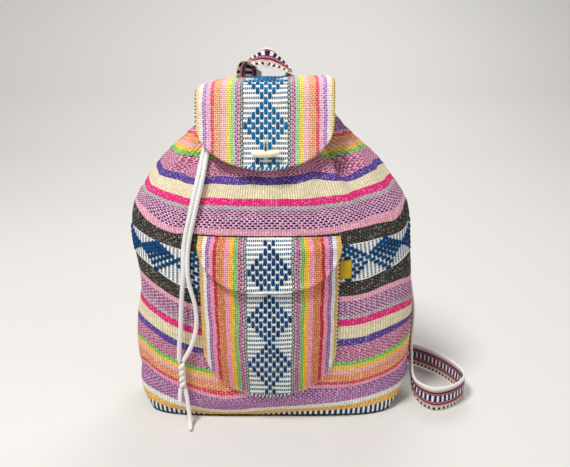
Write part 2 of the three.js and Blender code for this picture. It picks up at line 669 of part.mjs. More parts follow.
const shortTail = [
  byKnot(-1, KNOT_BOTTOM - SEAM_GAP),
  byKnot(-1, KNOT_BOTTOM - CORD_RADIUS),
  belowKnot(-1.4, 0.4, 14.4),
  belowKnot(-1.6, 1, 10),
];

function knotGeometry() {
  const [end, waist] = [KNOT_LENGTH / 2, KNOT_LENGTH / 5];
  const profile = [
    [0, -end],
    [KNOT_RADIUS - 1, -end],
    [KNOT_RADIUS, -waist],
    [KNOT_RADIUS - 0.8, 0],
    [KNOT_RADIUS, waist],
    [KNOT_RADIUS - 1, end],
    [0, end],
  ];
  const outline = profile.map(([r, along]) => new THREE.Vector2(r, along));
  return new THREE.LatheGeometry(outline, 10).rotateX(Math.PI / 2);
}

addPiece("base_panel", baseGeometry(), BASE_CLOTH);
addPiece("front_panel", cut(panelGeometry(FRONT), cordPassage), BODY_CLOTH);
addPiece("back_panel", cut(panelGeometry(BACK), cordPassage), BODY_CLOTH);
addPiece("flap", cut(flapGeometry(), buttonholeCutter()), FLAP_WEAVE);
addPiece("pocket", pocketGeometry(), FLAP_WEAVE);
addPiece("pocket_flap", pocketFlapGeometry(), FLAP_WEAVE);
addPiece("label", labelGeometry(), LABEL_WEAVE);
addPiece("shoulder_strap_right", bandGeometry(rightStrap, 56), BAND_WEAVE);
addPiece("shoulder_strap_left", bandGeometry(leftStrap, 56), BAND_WEAVE);
addPiece("hanging_loop", bandGeometry(hangingLoop(), 30, loopRidge), BAND_WEAVE);
addPiece("drawstring_neck_run", tubeGeometry(neckRun(), CORD_RADIUS, RUN_STEPS), COTTON_CORD);
addPiece("drawstring_left_end", tubeGeometry(leftEnd, CORD_RADIUS, 32), COTTON_CORD);
addPiece("drawstring_right_end", tubeGeometry(rightEnd, CORD_RADIUS, 32), COTTON_CORD);
const knot = addPiece("drawstring_knot", knotGeometry(), COTTON_CORD);
knot.position.copy(byKnot(0, KNOT_TOP - KNOT_LENGTH / 2));
addPiece("drawstring_long_tail", tubeGeometry(longTail, CORD_RADIUS, 8), COTTON_CORD);
addPiece("drawstring_short_tail", tubeGeometry(shortTail, CORD_RADIUS, 4), COTTON_CORD);

const toggle = addPiece("toggle", toggleGeometry(), BONE);
toggle.quaternion.copy(facingFlap);
toggle.position.copy(toggleCentre);
const whipping = addPiece(
  "toggle_whipping",
  new THREE.TorusGeometry(WHIPPING_RING, WHIPPING_RADIUS, 6, 14).rotateY(Math.PI / 2),
  COTTON_CORD,
);
whipping.quaternion.copy(facingFlap);
whipping.position.copy(toggleCentre);
addPiece("toggle_tether", tetherGeometry(), COTTON_CORD);

export default backpack;
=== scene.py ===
import math

import bmesh
import bpy
import numpy as np
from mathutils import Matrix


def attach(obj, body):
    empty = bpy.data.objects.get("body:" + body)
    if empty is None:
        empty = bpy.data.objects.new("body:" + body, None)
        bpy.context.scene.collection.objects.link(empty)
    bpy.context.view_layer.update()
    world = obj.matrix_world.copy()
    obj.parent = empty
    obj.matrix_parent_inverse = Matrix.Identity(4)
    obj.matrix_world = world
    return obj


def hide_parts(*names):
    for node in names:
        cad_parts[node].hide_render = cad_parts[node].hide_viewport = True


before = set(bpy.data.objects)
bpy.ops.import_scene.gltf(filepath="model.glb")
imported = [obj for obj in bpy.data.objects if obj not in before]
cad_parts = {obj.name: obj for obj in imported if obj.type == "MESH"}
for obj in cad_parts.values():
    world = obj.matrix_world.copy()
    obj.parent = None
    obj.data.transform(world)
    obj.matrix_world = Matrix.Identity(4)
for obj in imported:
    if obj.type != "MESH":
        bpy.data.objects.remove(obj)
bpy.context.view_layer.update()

# Stage
# A plain pale floor that curves up behind the bag, a soft lamp from the upper left, weaker ones
# from the right and from behind, and an even sky. The camera stands where the photographer stood.
FLOOR_PROFILE = [(-2.5, 0.0), (0.9, 0.0), (1.3, 0.05), (1.6, 0.2), (1.78, 0.5), (1.85, 1.0), (1.85, 3.2)]
FLOOR_HALF_WIDTH, FLOOR_COLOUR, FLOOR_ROUGHNESS = 4.0, (0.72, 0.70, 0.67, 1), 0.9
BAG_MIDDLE = (0.0, 0.0, 0.18)
# Each lamp's name, place, size and power.
LAMPS = [
    ("key_lamp", (-0.7, -0.8, 2.1), 0.6, 43.0),
    ("side_lamp", (1.6, -0.9, 1.0), 1.4, 4.5),
    ("back_lamp", (0.3, 1.3, 1.5), 1.2, 12.0),
]
SKY_COLOUR, SKY_STRENGTH = (0.96, 0.98, 1.0, 1), 0.3
CAMERA_PLACE, CAMERA_TILT = (0.0163, -0.7, 0.4289), math.radians(72)
SENSOR_WIDTH, FOCAL_SHARE = 36, 640 / 570


def link_object(name, data):
    made = bpy.data.objects.new(name, data)
    bpy.context.scene.collection.objects.link(made)
    return made


floor_mesh = bpy.data.meshes.new("floor")
floor_points = [(x, y, z) for y, z in FLOOR_PROFILE for x in (-FLOOR_HALF_WIDTH, FLOOR_HALF_WIDTH)]
floor_faces = [(i, i + 1, i + 3, i + 2) for i in range(0, len(floor_points) - 2, 2)]
floor_mesh.from_pydata(floor_points, [], floor_faces)
floor_mesh.shade_smooth()
pale_floor = bpy.data.materials.new("pale_floor")
pale_floor.use_nodes = True
floor_surface = pale_floor.node_tree.nodes["Principled BSDF"].inputs
floor_surface["Base Color"].default_value = FLOOR_COLOUR
floor_surface["Roughness"].default_value = FLOOR_ROUGHNESS
floor_mesh.materials.append(pale_floor)
link_object("floor", floor_mesh)

for name, place, size, power in LAMPS:
    lamp = bpy.data.lights.new(name, "AREA")
    lamp.shape, lamp.size, lamp.energy = "DISK", size, power
    lamp_stand = link_object(name, lamp)
    lamp_stand.location = place
    x, y, z = np.subtract(BAG_MIDDLE, place)
    lamp_stand.rotation_euler = (math.atan2(math.hypot(x, y), -z), 0, math.atan2(-x, y))

sky = bpy.data.worlds.new("even_sky")
sky.use_nodes = True
sky.node_tree.nodes["Background"].inputs["Color"].default_value = SKY_COLOUR
sky.node_tree.nodes["Background"].inputs["Strength"].default_value = SKY_STRENGTH
bpy.context.scene.world = sky
bpy.context.scene.view_settings.view_transform = "Standard"

camera = bpy.data.cameras.new("camera")
camera.sensor_width, camera.lens = SENSOR_WIDTH, SENSOR_WIDTH * FOCAL_SHARE
camera_stand = link_object("camera", camera)
camera_stand.location, camera_stand.rotation_euler = CAMERA_PLACE, (CAMERA_TILT, 0, 0)
bpy.context.scene.camera = camera_stand

# Front and back panels
# Two pieces of heavy hand-woven cotton, with stripes lying level round the bag, sewn together at the
# sides and to the base. They sag over the base, and the drawstring gathers them up to the mouth.
MM = 0.001
FRONT, BACK = -1, 1
BAG_HEIGHT, NECK_HEIGHT = 366.0, 349.9
LEVELS = np.array([2.5, 26.0, 159.9, 232.0, 284.0, NECK_HEIGHT, BAG_HEIGHT])
BELLY_HALF_WIDTH, BELLY_FRONT = 161.0, 77.0
SIDE_SAG, SIDE_SAG_TOP = 6.0, 201.3
CLOTH, SEAM_GAP, SEWN_GAP = 2.0, 0.3, 0.5
FOLDS, GATHER_DEPTH, GATHER_FOOT, GATHER_POWER = 8, 6.5, 228.0, 1.5
FOLD_UNEVEN, FOLD_ROUND, FOLD_SET = 0.22, 0.18, 0.1


def unit(vectors):
    return vectors / np.maximum(np.linalg.norm(vectors, axis=-1, keepdims=True), 1e-9)


def ease(value, low, high):
    t = np.clip((value - low) / (high - low), 0, 1)
    return t * t * (3 - 2 * t)


def between(value, low, low_full, high_full, high):
    return ease(value, low, low_full) * (1 - ease(value, high_full, high))


def bump_at(value, middle, width):
    return np.exp(-(((value - middle) / width) ** 2))


def hermite(t):
    """The weights, a share t of the way along a curve, of its two ends and of the slopes there."""
    return (1 + 2 * t) * (1 - t) ** 2, t * t * (3 - 2 * t), t * (1 - t) ** 2, t * t * (t - 1)


def through_levels(*values):
    """A smooth curve through one value a level of the bag, which never overshoots."""
    y = np.array(values, float)
    slope = np.diff(y) / np.diff(LEVELS)
    before, after = np.append(slope[:1], slope), np.append(slope, slope[-1:])
    total = np.where(before + after == 0, 1, before + after)
    tangent = np.where(before * after <= 0, 0, 2 * before * after / total)

    def at(height):
        h = np.clip(height, LEVELS[0], LEVELS[-1])
        i = np.clip(np.searchsorted(LEVELS, h, side="right") - 1, 0, len(LEVELS) - 2)
        step = LEVELS[i + 1] - LEVELS[i]
        start, end, leave, reach = hermite((h - LEVELS[i]) / step)
        return start * y[i] + end * y[i + 1] + step * (leave * tangent[i] + reach * tangent[i + 1])

    return at


half_at = through_levels(145, 159.07, BELLY_HALF_WIDTH, 157, 125, 62, 61)
depth_at = {
    FRONT: through_levels(62, 73, BELLY_FRONT, 73, 60.06, 28, 31),
    BACK: through_levels(56, 58, 58, 56.03, 50, 28, 31),
}
square_at = through_levels(5, 2.8, 2.4, 2.2, 2.1, 2, 2)


def side_at(height, x):
    """Half the bag's width: it leans on its right side, which is fuller near the ground."""
    sag = SIDE_SAG * np.sin(np.pi * np.clip(height / SIDE_SAG_TOP, 0, 1)) ** 2
    return half_at(height) + np.where(x > 0, sag, 0)


def gather_at(height):
    rise = (height - GATHER_FOOT) / (NECK_HEIGHT - GATHER_FOOT)
    return GATHER_DEPTH * np.clip(rise, 0, 1) ** GATHER_POWER


# Each tuck of the shoulders: its place across the panel, its depth, its width and where it starts.
TUCKS = [
    (0.18, 13.0, 0.025, 258), (0.812, 38.0, 0.036, 258), (0.32, 2.5, 0.022, 285), (0.69, 3.0, 0.022, 280),
]
BACK_TUCK, TUCK_RISE, TUCK_DRIFT, TUCK_EASES, TUCK_TOP = 6.0, 55, 0.012, 0.55, (318, 345)
# The crease on either side of the shoulders: how deep, where its ridge runs, how wide, and its heights.
CREASE_DEPTH, CREASE_SPAN = {FRONT: 3.4, BACK: 2.0}, (222, 246, 285, 305)
CREASE_X, CREASE_TOP, CREASE_LEAN, CREASE_RIDGE, CREASE_REACH = 60, 292, 0.66, 9, 34
PUCKER_DEPTH, PUCKER_PITCH, PUCKER_REACH = 0.8, 11.4, 0.016
ROLL_DEPTH, ROLL_HEIGHT, ROLL_SWAY, ROLL_WIDTH = 1.6, 44, 6, 9
# Each wave: its depth, how fast it turns across and upwards, its start and how that differs by panel.
WAVES = [(0.315, 17, 31, 0, 1), (0.225, 31, -19, 2.1, 0), (0.1575, 57, 9.5, 0, 0), (0.135, 13, 7.3, 0, 0)]
CALM_SPAN = (4, 22, 300, 330)
# The dent in the left side and the full corner at the right: how deep, at what height and how tall.
SIDE_DENT, SIDE_CORNER, SIDE_REACH = (11.5, 152, 40), (3.2, 34, 22), 0.13


def slack(side, across, height, x):
    """How far the cloth falls short of its full shape: tucks, creases and the waves of a worn bag."""
    tucks = 0
    for middle, depth, width, foot in TUCKS:
        depth = depth if side == FRONT else min(depth, BACK_TUCK)
        drift = middle + TUCK_DRIFT * np.sin(height / 17 + 9 * middle)
        fade = ease(height, foot, foot + TUCK_RISE) * (1 - TUCK_EASES * ease(height, *TUCK_TOP))
        tucks = tucks + depth * fade * bump_at(across, drift, width)
    ridge = CREASE_X + CREASE_LEAN * (CREASE_TOP - height)
    beside, reach = (bump_at(np.abs(x), ridge, width) for width in (CREASE_RIDGE, CREASE_REACH))
    creases = CREASE_DEPTH[side] * between(height, *CREASE_SPAN) * reach * (1 - beside)
    beat = np.sin(height * 2 * np.pi / PUCKER_PITCH + 4 * np.sin(height / 23))
    pucker = PUCKER_DEPTH * (1 + beat) * np.exp(-np.minimum(across, 1 - across) / PUCKER_REACH)
    roll = ROLL_DEPTH * bump_at(height, ROLL_HEIGHT + ROLL_SWAY * np.sin(7 * across), ROLL_WIDTH)
    loose = roll * (0.6 + 0.4 * np.sin(11 * across + 1))
    for depth, turn, rise, start, differs in WAVES:
        loose = loose + depth * (1 + np.sin(turn * across + height / rise + start + differs * side))
    dent, full = (
        depth * bump_at(across, seam, SIDE_REACH) * bump_at(height, middle, tall)
        for seam, (depth, middle, tall) in ((0, SIDE_DENT), (1, SIDE_CORNER))
    )
    sides = dent - full * ease(height, LEVELS[0], 14) + pucker * ease(height, 8, 20)
    return sides + tucks + creases + loose * between(height, *CALM_SPAN)


def bag_skin(side, across, height, inset=0.0, worn=True):
    """A point of the bag: across runs from 0 at the left seam to 1 at the right one."""
    turn = np.pi * across
    angle = np.arctan2(np.sin(turn), -np.cos(turn) / math.sqrt(BELLY_FRONT / BELLY_HALF_WIDTH))
    c, s = np.cos(angle), np.abs(np.sin(angle))
    half, depth = side_at(height, c) - inset, depth_at[side](height) - inset
    square = square_at(height)
    radius = ((np.abs(c) / half) ** square + (s / depth) ** square) ** (-1 / square)
    if worn:
        fold = 2 * np.pi * FOLDS * across
        uneven = 1 + FOLD_UNEVEN * np.sin(5.3 * across * np.pi + side)
        gathers = gather_at(height) * (np.cos(fold) * uneven + FOLD_ROUND * np.sin(fold) ** 2 - FOLD_SET)
        radius = radius + gathers - slack(side, across, height, radius * c)
    return np.stack([radius * c, side * (radius * s + SEAM_GAP / 2), height + 0 * radius], -1)


def add_node(tree, kind, inputs=None, **settings):
    """A node of the tree, with each input either typed in or linked from another node."""
    node = tree.nodes.new(kind)
    for key, value in settings.items():
        setattr(node, key, value)
    for key, value in (inputs or {}).items():
        value = value.socket if isinstance(value, Worked) else value
        if isinstance(value, bpy.types.NodeSocket):
            tree.links.new(value, node.inputs[key])
        else:
            node.inputs[key].default_value = value
    return node


def by_math(operation):
    return lambda *values: values[0].math(operation, *values)


class Worked:
    """What a material's nodes work out at each spot, so that a formula can be written as it is read."""

    def __init__(self, tree, socket):
        self.tree, self.socket = tree, socket

    def node(self, kind, inputs, output=0, **settings):
        return Worked(self.tree, add_node(self.tree, kind, inputs, **settings).outputs[output])

    def math(self, operation, *values):
        return self.node("ShaderNodeMath", dict(enumerate(values)), operation=operation)

    __add__, __sub__, __mul__ = by_math("ADD"), by_math("SUBTRACT"), by_math("MULTIPLY")
    __truediv__, __mod__, __pow__ = by_math("DIVIDE"), by_math("FLOORED_MODULO"), by_math("POWER")
    __gt__, __lt__, __abs__ = by_math("GREATER_THAN"), by_math("LESS_THAN"), by_math("ABSOLUTE")
    floor, either, near = by_math("FLOOR"), by_math("MAXIMUM"), by_math("COMPARE")
    sine, fraction = by_math("SINE"), by_math("FRACT")

    def __rsub__(self, other):
        return self.math("SUBTRACT", other, self)

    def cell(self):
        """1 at each whole number, 0 halfway between."""
        return abs(self.fraction() * 2.0 - 1.0)

    def eased(self, low, high):
        """0 below low, 1 above high, and a smooth ramp between them."""
        return self.node("ShaderNodeMapRange", {0: self, 1: low, 2: high}, interpolation_type="SMOOTHSTEP")

    def mix(self, *colours):
        """The first colour where this is 0 and the second where it is 1, each worked out or a code."""
        first, second = (rgb(colour) if isinstance(colour, str) else colour for colour in colours)
        return self.node("ShaderNodeMix", {0: self, 6: first, 7: second}, 2, data_type="RGBA")

    def noise(self, scale, detail=2.0):
        return self.node("ShaderNodeTexNoise", {"Vector": self, "Scale": scale, "Detail": detail}, "Fac")

    def by_chance(self):
        return self.node("ShaderNodeTexWhiteNoise", {"Vector": self}, "Value")

    def stripes(self, stripes, pick):
        """Bands of colour, each up to where its stripe ends."""
        node = add_node(self.tree, "ShaderNodeValToRGB", {0: self / stripes[-1][0]})
        ramp = node.color_ramp
        ramp.interpolation = "CONSTANT"
        ramp.elements.remove(ramp.elements[1])
        ramp.elements[0].position, ramp.elements[0].color = 0.0, rgb(stripes[0][pick])
        for before, stripe in zip(stripes, stripes[1:]):
            ramp.elements.new(before[0] / stripes[-1][0]).color = rgb(stripe[pick])
        return Worked(self.tree, node.outputs[0])


def vector(*parts):
    """A vector of up to three parts, of which some are worked out and some typed in."""
    worked = next(part for part in parts if isinstance(part, Worked))
    return worked.node("ShaderNodeCombineXYZ", dict(enumerate(parts)))


def rgb(code):
    """A colour written as web code, in the linear values that Blender's sockets take."""
    parts = [int(code[i : i + 2], 16) / 255 for i in (1, 3, 5)]
    return tuple(c / 12.92 if c <= 0.04045 else ((c + 0.055) / 1.055) ** 2.4 for c in parts) + (1.0,)


def new_finish(name, roughness):
    material = bpy.data.materials.new(name)
    material.use_nodes = True
    surface = material.node_tree.nodes["Principled BSDF"].inputs
    surface["Roughness"].default_value, surface["Specular IOR Level"].default_value = roughness, 0.2
    return material


def weave_of(material):
    """What the piece's mesh carries: millimetres along and across the cloth, and the row of bars."""
    tree = material.node_tree
    place = add_node(tree, "ShaderNodeAttribute", attribute_name="weave").outputs["Vector"]
    parts = add_node(tree, "ShaderNodeSeparateXYZ", {0: place}).outputs
    return [Worked(tree, socket) for socket in (place, *parts)]


def coat(material, colour, height, distance, strength, light=1.0):
    """Gives the material its colour, times a factor of painted shade and random tone, and the small relief
    of its yarns.
    """
    tree = material.node_tree
    surface = tree.nodes["Principled BSDF"].inputs
    shaded = add_node(tree, "ShaderNodeVectorMath", {0: colour, "Scale": light}, operation="SCALE")
    relief = {"Strength": strength, "Distance": distance, "Height": height}
    tree.links.new(shaded.outputs[0], surface["Base Color"])
    tree.links.new(add_node(tree, "ShaderNodeBump", relief).outputs[0], surface["Normal"])
    return material


# Each stripe: where it ends, in millimetres from the middle of the band of diamonds, the yarn that shows
# and the yarn that dashes through it.
WHITE, BAR_BLUE, HEM_BLUE = "#f1f1ec", "#2f5f86", "#174a74"
DOT_WHITE, DOT_BLACK, DOT_PITCH = "#efece6", "#1d1c1e", 4.7
HALF_BAND, HEM_FROM, HEM_TO = 21.0, 190.5, 400.0
BODY_STRIPES = [
    (HALF_BAND, WHITE, WHITE), (38.5, "#1b1918", "#5f5851"), (44.2, "#f5a0b6", "#f8bccb"),
    (62.3, "#fcbfe6", "#471036"), (67.0, "#ddd6d3", "#968c90"), (75.2, "#ee1470", "#f24c96"),
    (91.5, "#f6e8c6", "#efddb4"), (100.0, "#3f1e7e", "#7f68b8"), (121.5, "#f3b4cf", "#96205a"),
    (126.0, "#64bf49", "#a3dc8b"), (132.0, "#fbbd1c", "#fddb73"), (137.5, "#f5a3ab", "#f8c6c9"),
    (147.0, "#ec8747", "#f6bd92"), (151.2, "#dd2341", "#ee7d88"), (154.8, "#f39cb6", "#f6b9ca"),
    (175.5, "#dca6d2", "#803f7a"), (181.5, "#f7f4ee", "#ece7df"), (HEM_FROM, "#efae38", "#f7d080"),
    (215.0, WHITE, WHITE),
]
YARN, BODY_REPEAT, FINE_DASH = 1.88, 6.1, 2.05
FLECK_SHOWS, YARN_SLIP, DASH_SIZE, HEM_ROWS = 0.2, 0.22, 0.8, 0.86
# How wide the stripes wander, over long and short ways along the cloth.
LONG_WANDER, SHORT_WANDER = 1.0, 0.4


def woven_cloth(name, stripes, bands, repeat, dotted=None):
    """Striped cloth, whose bands, as (from, to), hold white bars with fine blue dashes between them.
    Dotted is where a black and white selvage starts on the cloth's left, if below 0, or right."""
    material = new_finish(name, 0.95)
    place, along, across, row = weave_of(material)
    over = across + (place.noise(0.045, 1.0) * (2 * LONG_WANDER) - LONG_WANDER)
    away = abs(over + (place.noise(0.55, 1.0) * (2 * SHORT_WANDER) - SHORT_WANDER))
    shows, dashes = (away.stripes(stripes, pick) for pick in (1, 2))

    # Dashes of the second yarn, half a repeat further on in every other row.
    yarn, ribs = over / YARN, along / (repeat / 2)
    yarn_number = yarn.floor()
    rib, lane = ribs.cell(), yarn.cell()
    slip = vector(0.0, yarn_number).by_chance() * YARN_SLIP
    turn = ribs * 0.5 + (yarn_number % 2.0 * 0.5 + slip)
    dash = 1.0 - ((turn.cell() / DASH_SIZE) ** 2.0 + (lane / DASH_SIZE) ** 2.0).eased(0.7, 1.2)
    height = 1.0 - rib.eased(0.35, 1.0) * 0.75 - lane.eased(0.5, 1.0) * 0.25

    # White flecks of the warp, here and there.
    speck = vector(ribs.floor(), yarn_number).by_chance()
    fleck = speck.eased(0.72, 0.9) * FLECK_SHOWS * (1.0 - (rib**2.0 + lane**2.0).eased(0.3, 1.0))
    colour = fleck.mix(dash.mix(shows, dashes), WHITE)

    # White bars in the bands, wider and with plain blue between them at the hem.
    hem = away > HEM_FROM
    bar = (row * (hem * (HEM_ROWS - 1.0) + 1.0) + 0.5).cell()
    fine = 1.0 - (over / FINE_DASH).cell().eased(0.5, 0.7)
    blue = hem.mix(BAR_BLUE, HEM_BLUE)
    bars = (bar.eased(0.42, 0.54) * fine.either(hem)).mix(WHITE, blue)
    in_bands = [away.near((low + high) / 2, (high - low) / 2) for low, high in bands]
    in_band = in_bands[0] if len(bands) == 1 else in_bands[0].either(in_bands[1])
    colour = in_band.mix(colour, bars)
    height = height + in_band * (1.0 - bar.eased(0.2, 0.62) * 0.6 - height)
    if dotted:
        dot = (along / DOT_PITCH).cell().eased(0.4, 0.6).mix(DOT_WHITE, DOT_BLACK)
        colour = (across > dotted if dotted > 0 else across < dotted).mix(colour, dot)

    fibre = vector(along * 0.35, across).noise(2.4)
    uneven = vector(along * 0.03, yarn_number * 3.7).noise(1.0) * 0.3 + 0.85
    # Painted shade: the colour darkens where the yarns dip between ribs, rows and bars, times tone that
    # differs at random from fibre to fibre, yarn to yarn and cell to cell.
    light = (height * 0.5 + 0.56) * uneven * (speck * 0.22 + 0.9) * (fibre * 0.24 + 0.88)
    return coat(material, colour, fibre * 0.25 + height, 0.0007, 0.8, light)


body_cloth = woven_cloth("striped_cloth", BODY_STRIPES, [(0.0, HALF_BAND), (HEM_FROM, HEM_TO)], BODY_REPEAT)


def mesh_piece(name, grids, faces, material, weaves=None):
    """A smooth mesh from grids of points in millimetres, turned so that its closed skin faces outwards."""
    flat = lambda parts: np.concatenate([np.reshape(part, (-1, 3)) for part in parts])
    points = flat(grids)
    volume = 0.0
    for face in faces:
        first, *rest = (points[corner] for corner in face.T)
        volume += sum(np.sum(first * np.cross(b, c)) for b, c in zip(rest, rest[1:]))
    mesh = bpy.data.meshes.new(name)
    turned = [face[:, ::-1] if volume < 0 else face for face in faces]
    mesh.from_pydata((points * MM).tolist(), [], [f for face in turned for f in face.tolist()])
    mesh.shade_smooth()
    if weaves is not None:
        carry(mesh, "weave", flat(weaves))
    mesh.materials.append(material)
    mesh.update()
    return link_object(name, mesh)


def carry(mesh, name, vectors):
    kept = mesh.attributes.new(name, "FLOAT_VECTOR", "POINT")
    kept.data.foreach_set("vector", np.asarray(vectors, np.float32).reshape(-1))


def grid_faces(at):
    return np.stack([at[:-1, :-1], at[1:, :-1], at[1:, 1:], at[:-1, 1:]], -1).reshape(-1, 4)


def rim_faces(a, b):
    return np.stack([a[:-1], a[1:], b[1:], b[:-1]], -1)


def sheet_faces(outer, inner, first_rim=slice(None)):
    """The faces of a closed sheet: an outer grid of points, an inner one, and the rim between them."""
    return [
        grid_faces(outer), grid_faces(inner)[:, ::-1],
        rim_faces(outer[:, 0], inner[:, 0])[:, ::-1], rim_faces(outer[:, -1], inner[:, -1]),
        rim_faces(outer[0, first_rim], inner[0, first_rim]), rim_faces(outer[-1], inner[-1])[:, ::-1],
    ]


def stands_for(piece, node, body="bag"):
    """The piece takes the place of a solid and moves with a body."""
    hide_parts(node)
    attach(piece, body)
    return piece


def cloth_sheet(name, node, outer, inner, weave, material):
    """A closed sheet of cloth. Weave is what each spot carries: along, across and the row of bars."""
    weave = np.stack(np.broadcast_arrays(*weave), -1)
    at = np.arange(weave.size // 3).reshape(weave.shape[:2])
    faces = sheet_faces(at, at + at.size)
    return stands_for(mesh_piece(name, [outer, inner], faces, material, [weave, weave]), node)


def running(points, axis):
    """Distance along each row or column of a grid of points."""
    steps = np.linalg.norm(np.diff(points, axis=axis), axis=-1)
    start = np.zeros_like(np.take(steps, [0], axis=axis))
    return np.concatenate([start, np.cumsum(steps, axis=axis)], axis=axis)


class ClothGrid:
    """A piece of cloth as a grid of points. One of the cloth's own coordinates is the same all down a
    column, the other runs along the rows, so any spot of the cloth can be found on the finished shape."""

    def __init__(self, points, inner, column_marks, row_marks):
        self.points, self.inner = points, inner
        self.column_marks, self.row_marks = column_marks, row_marks
        self.out = unit(np.cross(np.gradient(points, axis=0), np.gradient(points, axis=1)))
        self.out *= np.sign(np.sum(self.out * (points - inner)))

    def place(self, column, row):
        """The point, the outward direction, and the directions along rows and along columns there."""
        last_column, last_row = self.points.shape[0] - 2, self.points.shape[1] - 2
        c = np.interp(column, self.column_marks, np.arange(last_column + 2))
        i = np.clip(c.astype(int), 0, last_column)
        t = (c - i)[:, None]
        found = []
        for k in (i, i + 1):
            r = np.array([np.interp(v, self.row_marks[j], np.arange(last_row + 2)) for j, v in zip(k, row)])
            j = np.clip(r.astype(int), 0, last_row)
            f = (r - j)[:, None]
            found.append([(1 - f) * grid[k, j] + f * grid[k, j + 1] for grid in (self.points, self.out)])
            down = self.points[k, j + 1] - self.points[k, j]
        point, out = ((1 - t) * here + t * beside for here, beside in zip(*found))
        return point, unit(out), unit(found[1][0] - found[0][0]), unit(down)


# The cloth's level coordinate is counted from the middle of its band of diamonds. The stripes dip a
# little in the middle of the front and climb towards the side seams.
BAND_MIDDLE, CLOTH_HEIGHT, UPPER_SQUEEZE = 204.4, 404.3, 0.955
MIDDLE_DIP, DIP_WIDTH, DIP_RISE = 4.0, 0.17, (90, 240)
SIDE_CLIMB, CLIMB_ACROSS, CLIMB_SPAN = 9.0, (0.5, 0.95), (6, 110, 240, 335)
# Where the soft cloth hangs askew, its stripes lie lower or higher: by how many millimetres, the middle
# and the width of the place across the panel, and the heights between which it hangs so.
STRIPE_PULLS = [
    (11.5, 0.33, 0.12, -30, 200), (8.0, 0.19, 0.09, 215, 285), (8.0, 0.07, 0.06, 258, 296),
    (4.5, 0.27, 0.12, 95, 165), (8.0, 0.06, 0.08, 212, 226), (13.0, 0.0, 0.05, 140, 165),
    (4.5, 0.75, 0.09, 40, 185), (-4.0, 0.93, 0.05, 40, 115), (10.0, 0.49, 0.2, -30, 28),
    (4.0, 0.2, 0.05, 295, 330), (6.0, 0.88, 0.06, 222, 250), (6.0, 0.5, 0.6, 215, 224),
    (15.0, 0.806, 0.034, 284, 330), (-5.0, 0.66, 0.06, 280, 300), (13.0, 0.95, 0.09, 120, 170),
    (-5.0, 0.13, 0.05, 60, 90), (4.0, 0.88, 0.08, 212, 226),
]
PULL_FADE, SEAM_REACH = 22.0, 0.15
PANEL_COLUMNS, PANEL_ROWS, GIRTH_POINTS = 320, 140, 1501


def panel_grid(side):
    """A panel as a grid of points, each with its place along the cloth and the stripe that lies there."""
    dense = np.linspace(0, 1, GIRTH_POINTS)
    girth = running(bag_skin(side, dense, np.full_like(dense, LEVELS[2]), worn=False), 0)
    along = np.linspace(0, girth[-1], PANEL_COLUMNS + 1)
    across = np.interp(along, girth, dense)[:, None]
    across, height = np.broadcast_arrays(across, np.linspace(LEVELS[0], BAG_HEIGHT, PANEL_ROWS + 1))
    length = running(bag_skin(side, across, height, worn=False), 1)
    up = length / length[:, -1:] * CLOTH_HEIGHT - BAND_MIDDLE
    up = up - MIDDLE_DIP * bump_at(across, 0.5, DIP_WIDTH) * ease(height, *DIP_RISE)
    up = up - SIDE_CLIMB * ease(np.abs(2 * across - 1), *CLIMB_ACROSS) * between(height, *CLIMB_SPAN)
    up = np.where(up > 0, up / UPPER_SQUEEZE, up)
    for lower_by, middle, width, low, high in STRIPE_PULLS:
        if side == FRONT or not SEAM_REACH < middle < 1 - SEAM_REACH:
            window = between(height, low - PULL_FADE, low, high, high + PULL_FADE)
            up = up + lower_by * bump_at(across, middle, width) * window
    outer, inner = bag_skin(side, across, height), bag_skin(side, across, height, CLOTH)
    return ClothGrid(outer, inner, along - girth[-1] / 2, up)


panels = {side: panel_grid(side) for side in (FRONT, BACK)}
# The rows of bars are beaten looser behind the pocket: millimetres along the cloth, and the rows there.
# At the hem, in the middle of each panel, they stand upright from where a row of the grid has them.
BODY_ROW, FAR_ROWS, LOOSE_ALONG, LOOSE_ROWS = 4.92, 60, (-80.6, 84.3), (0, 30)
HEM_GRID_ROW, HEM_FACE, HEM_ABOVE = 10, (0.76, 0.92), 6
far = FAR_ROWS * BODY_ROW
BAR_ROWS = {
    FRONT: (
        (LOOSE_ALONG[0] - far, *LOOSE_ALONG, LOOSE_ALONG[1] + far),
        (LOOSE_ROWS[0] - FAR_ROWS, *LOOSE_ROWS, LOOSE_ROWS[1] + FAR_ROWS),
    ),
    BACK: ((-far, far), (-FAR_ROWS, FAR_ROWS)),
}

for side, name, node in ((FRONT, "woven_front", "front_panel"), (BACK, "woven_back", "back_panel")):
    panel = panels[side]
    along, up = panel.column_marks[:, None], panel.row_marks
    x = panel.points[..., 0]
    upright = np.interp(x, np.maximum.accumulate(x[:, HEM_GRID_ROW]), panel.column_marks)
    in_hem = (1 - ease(np.abs(along) / panel.column_marks[-1], *HEM_FACE)) * (up < HEM_ABOVE - HEM_FROM)
    rows = np.interp(along + in_hem * (upright - along), *BAR_ROWS[side])
    piece = cloth_sheet(name, node, panel.points, panel.inner, (along, up, rows), body_cloth)

# Diamonds of the panels
# In the middle band of the cloth a blue yarn floats over the white in stepped diamonds. Every float is a
# raised length of yarn that lies along the band; the bars between them are in the cloth.
DIAMOND_REACH, DIAMOND_COLUMN = 5, 4.0
FLOAT_SIZE, FLOAT_STAND = (8.0, 4.3, 2.0), 0.25
YARN_SIZES, TINT_STEP = ("Length", "Width", "Height"), 0.754877


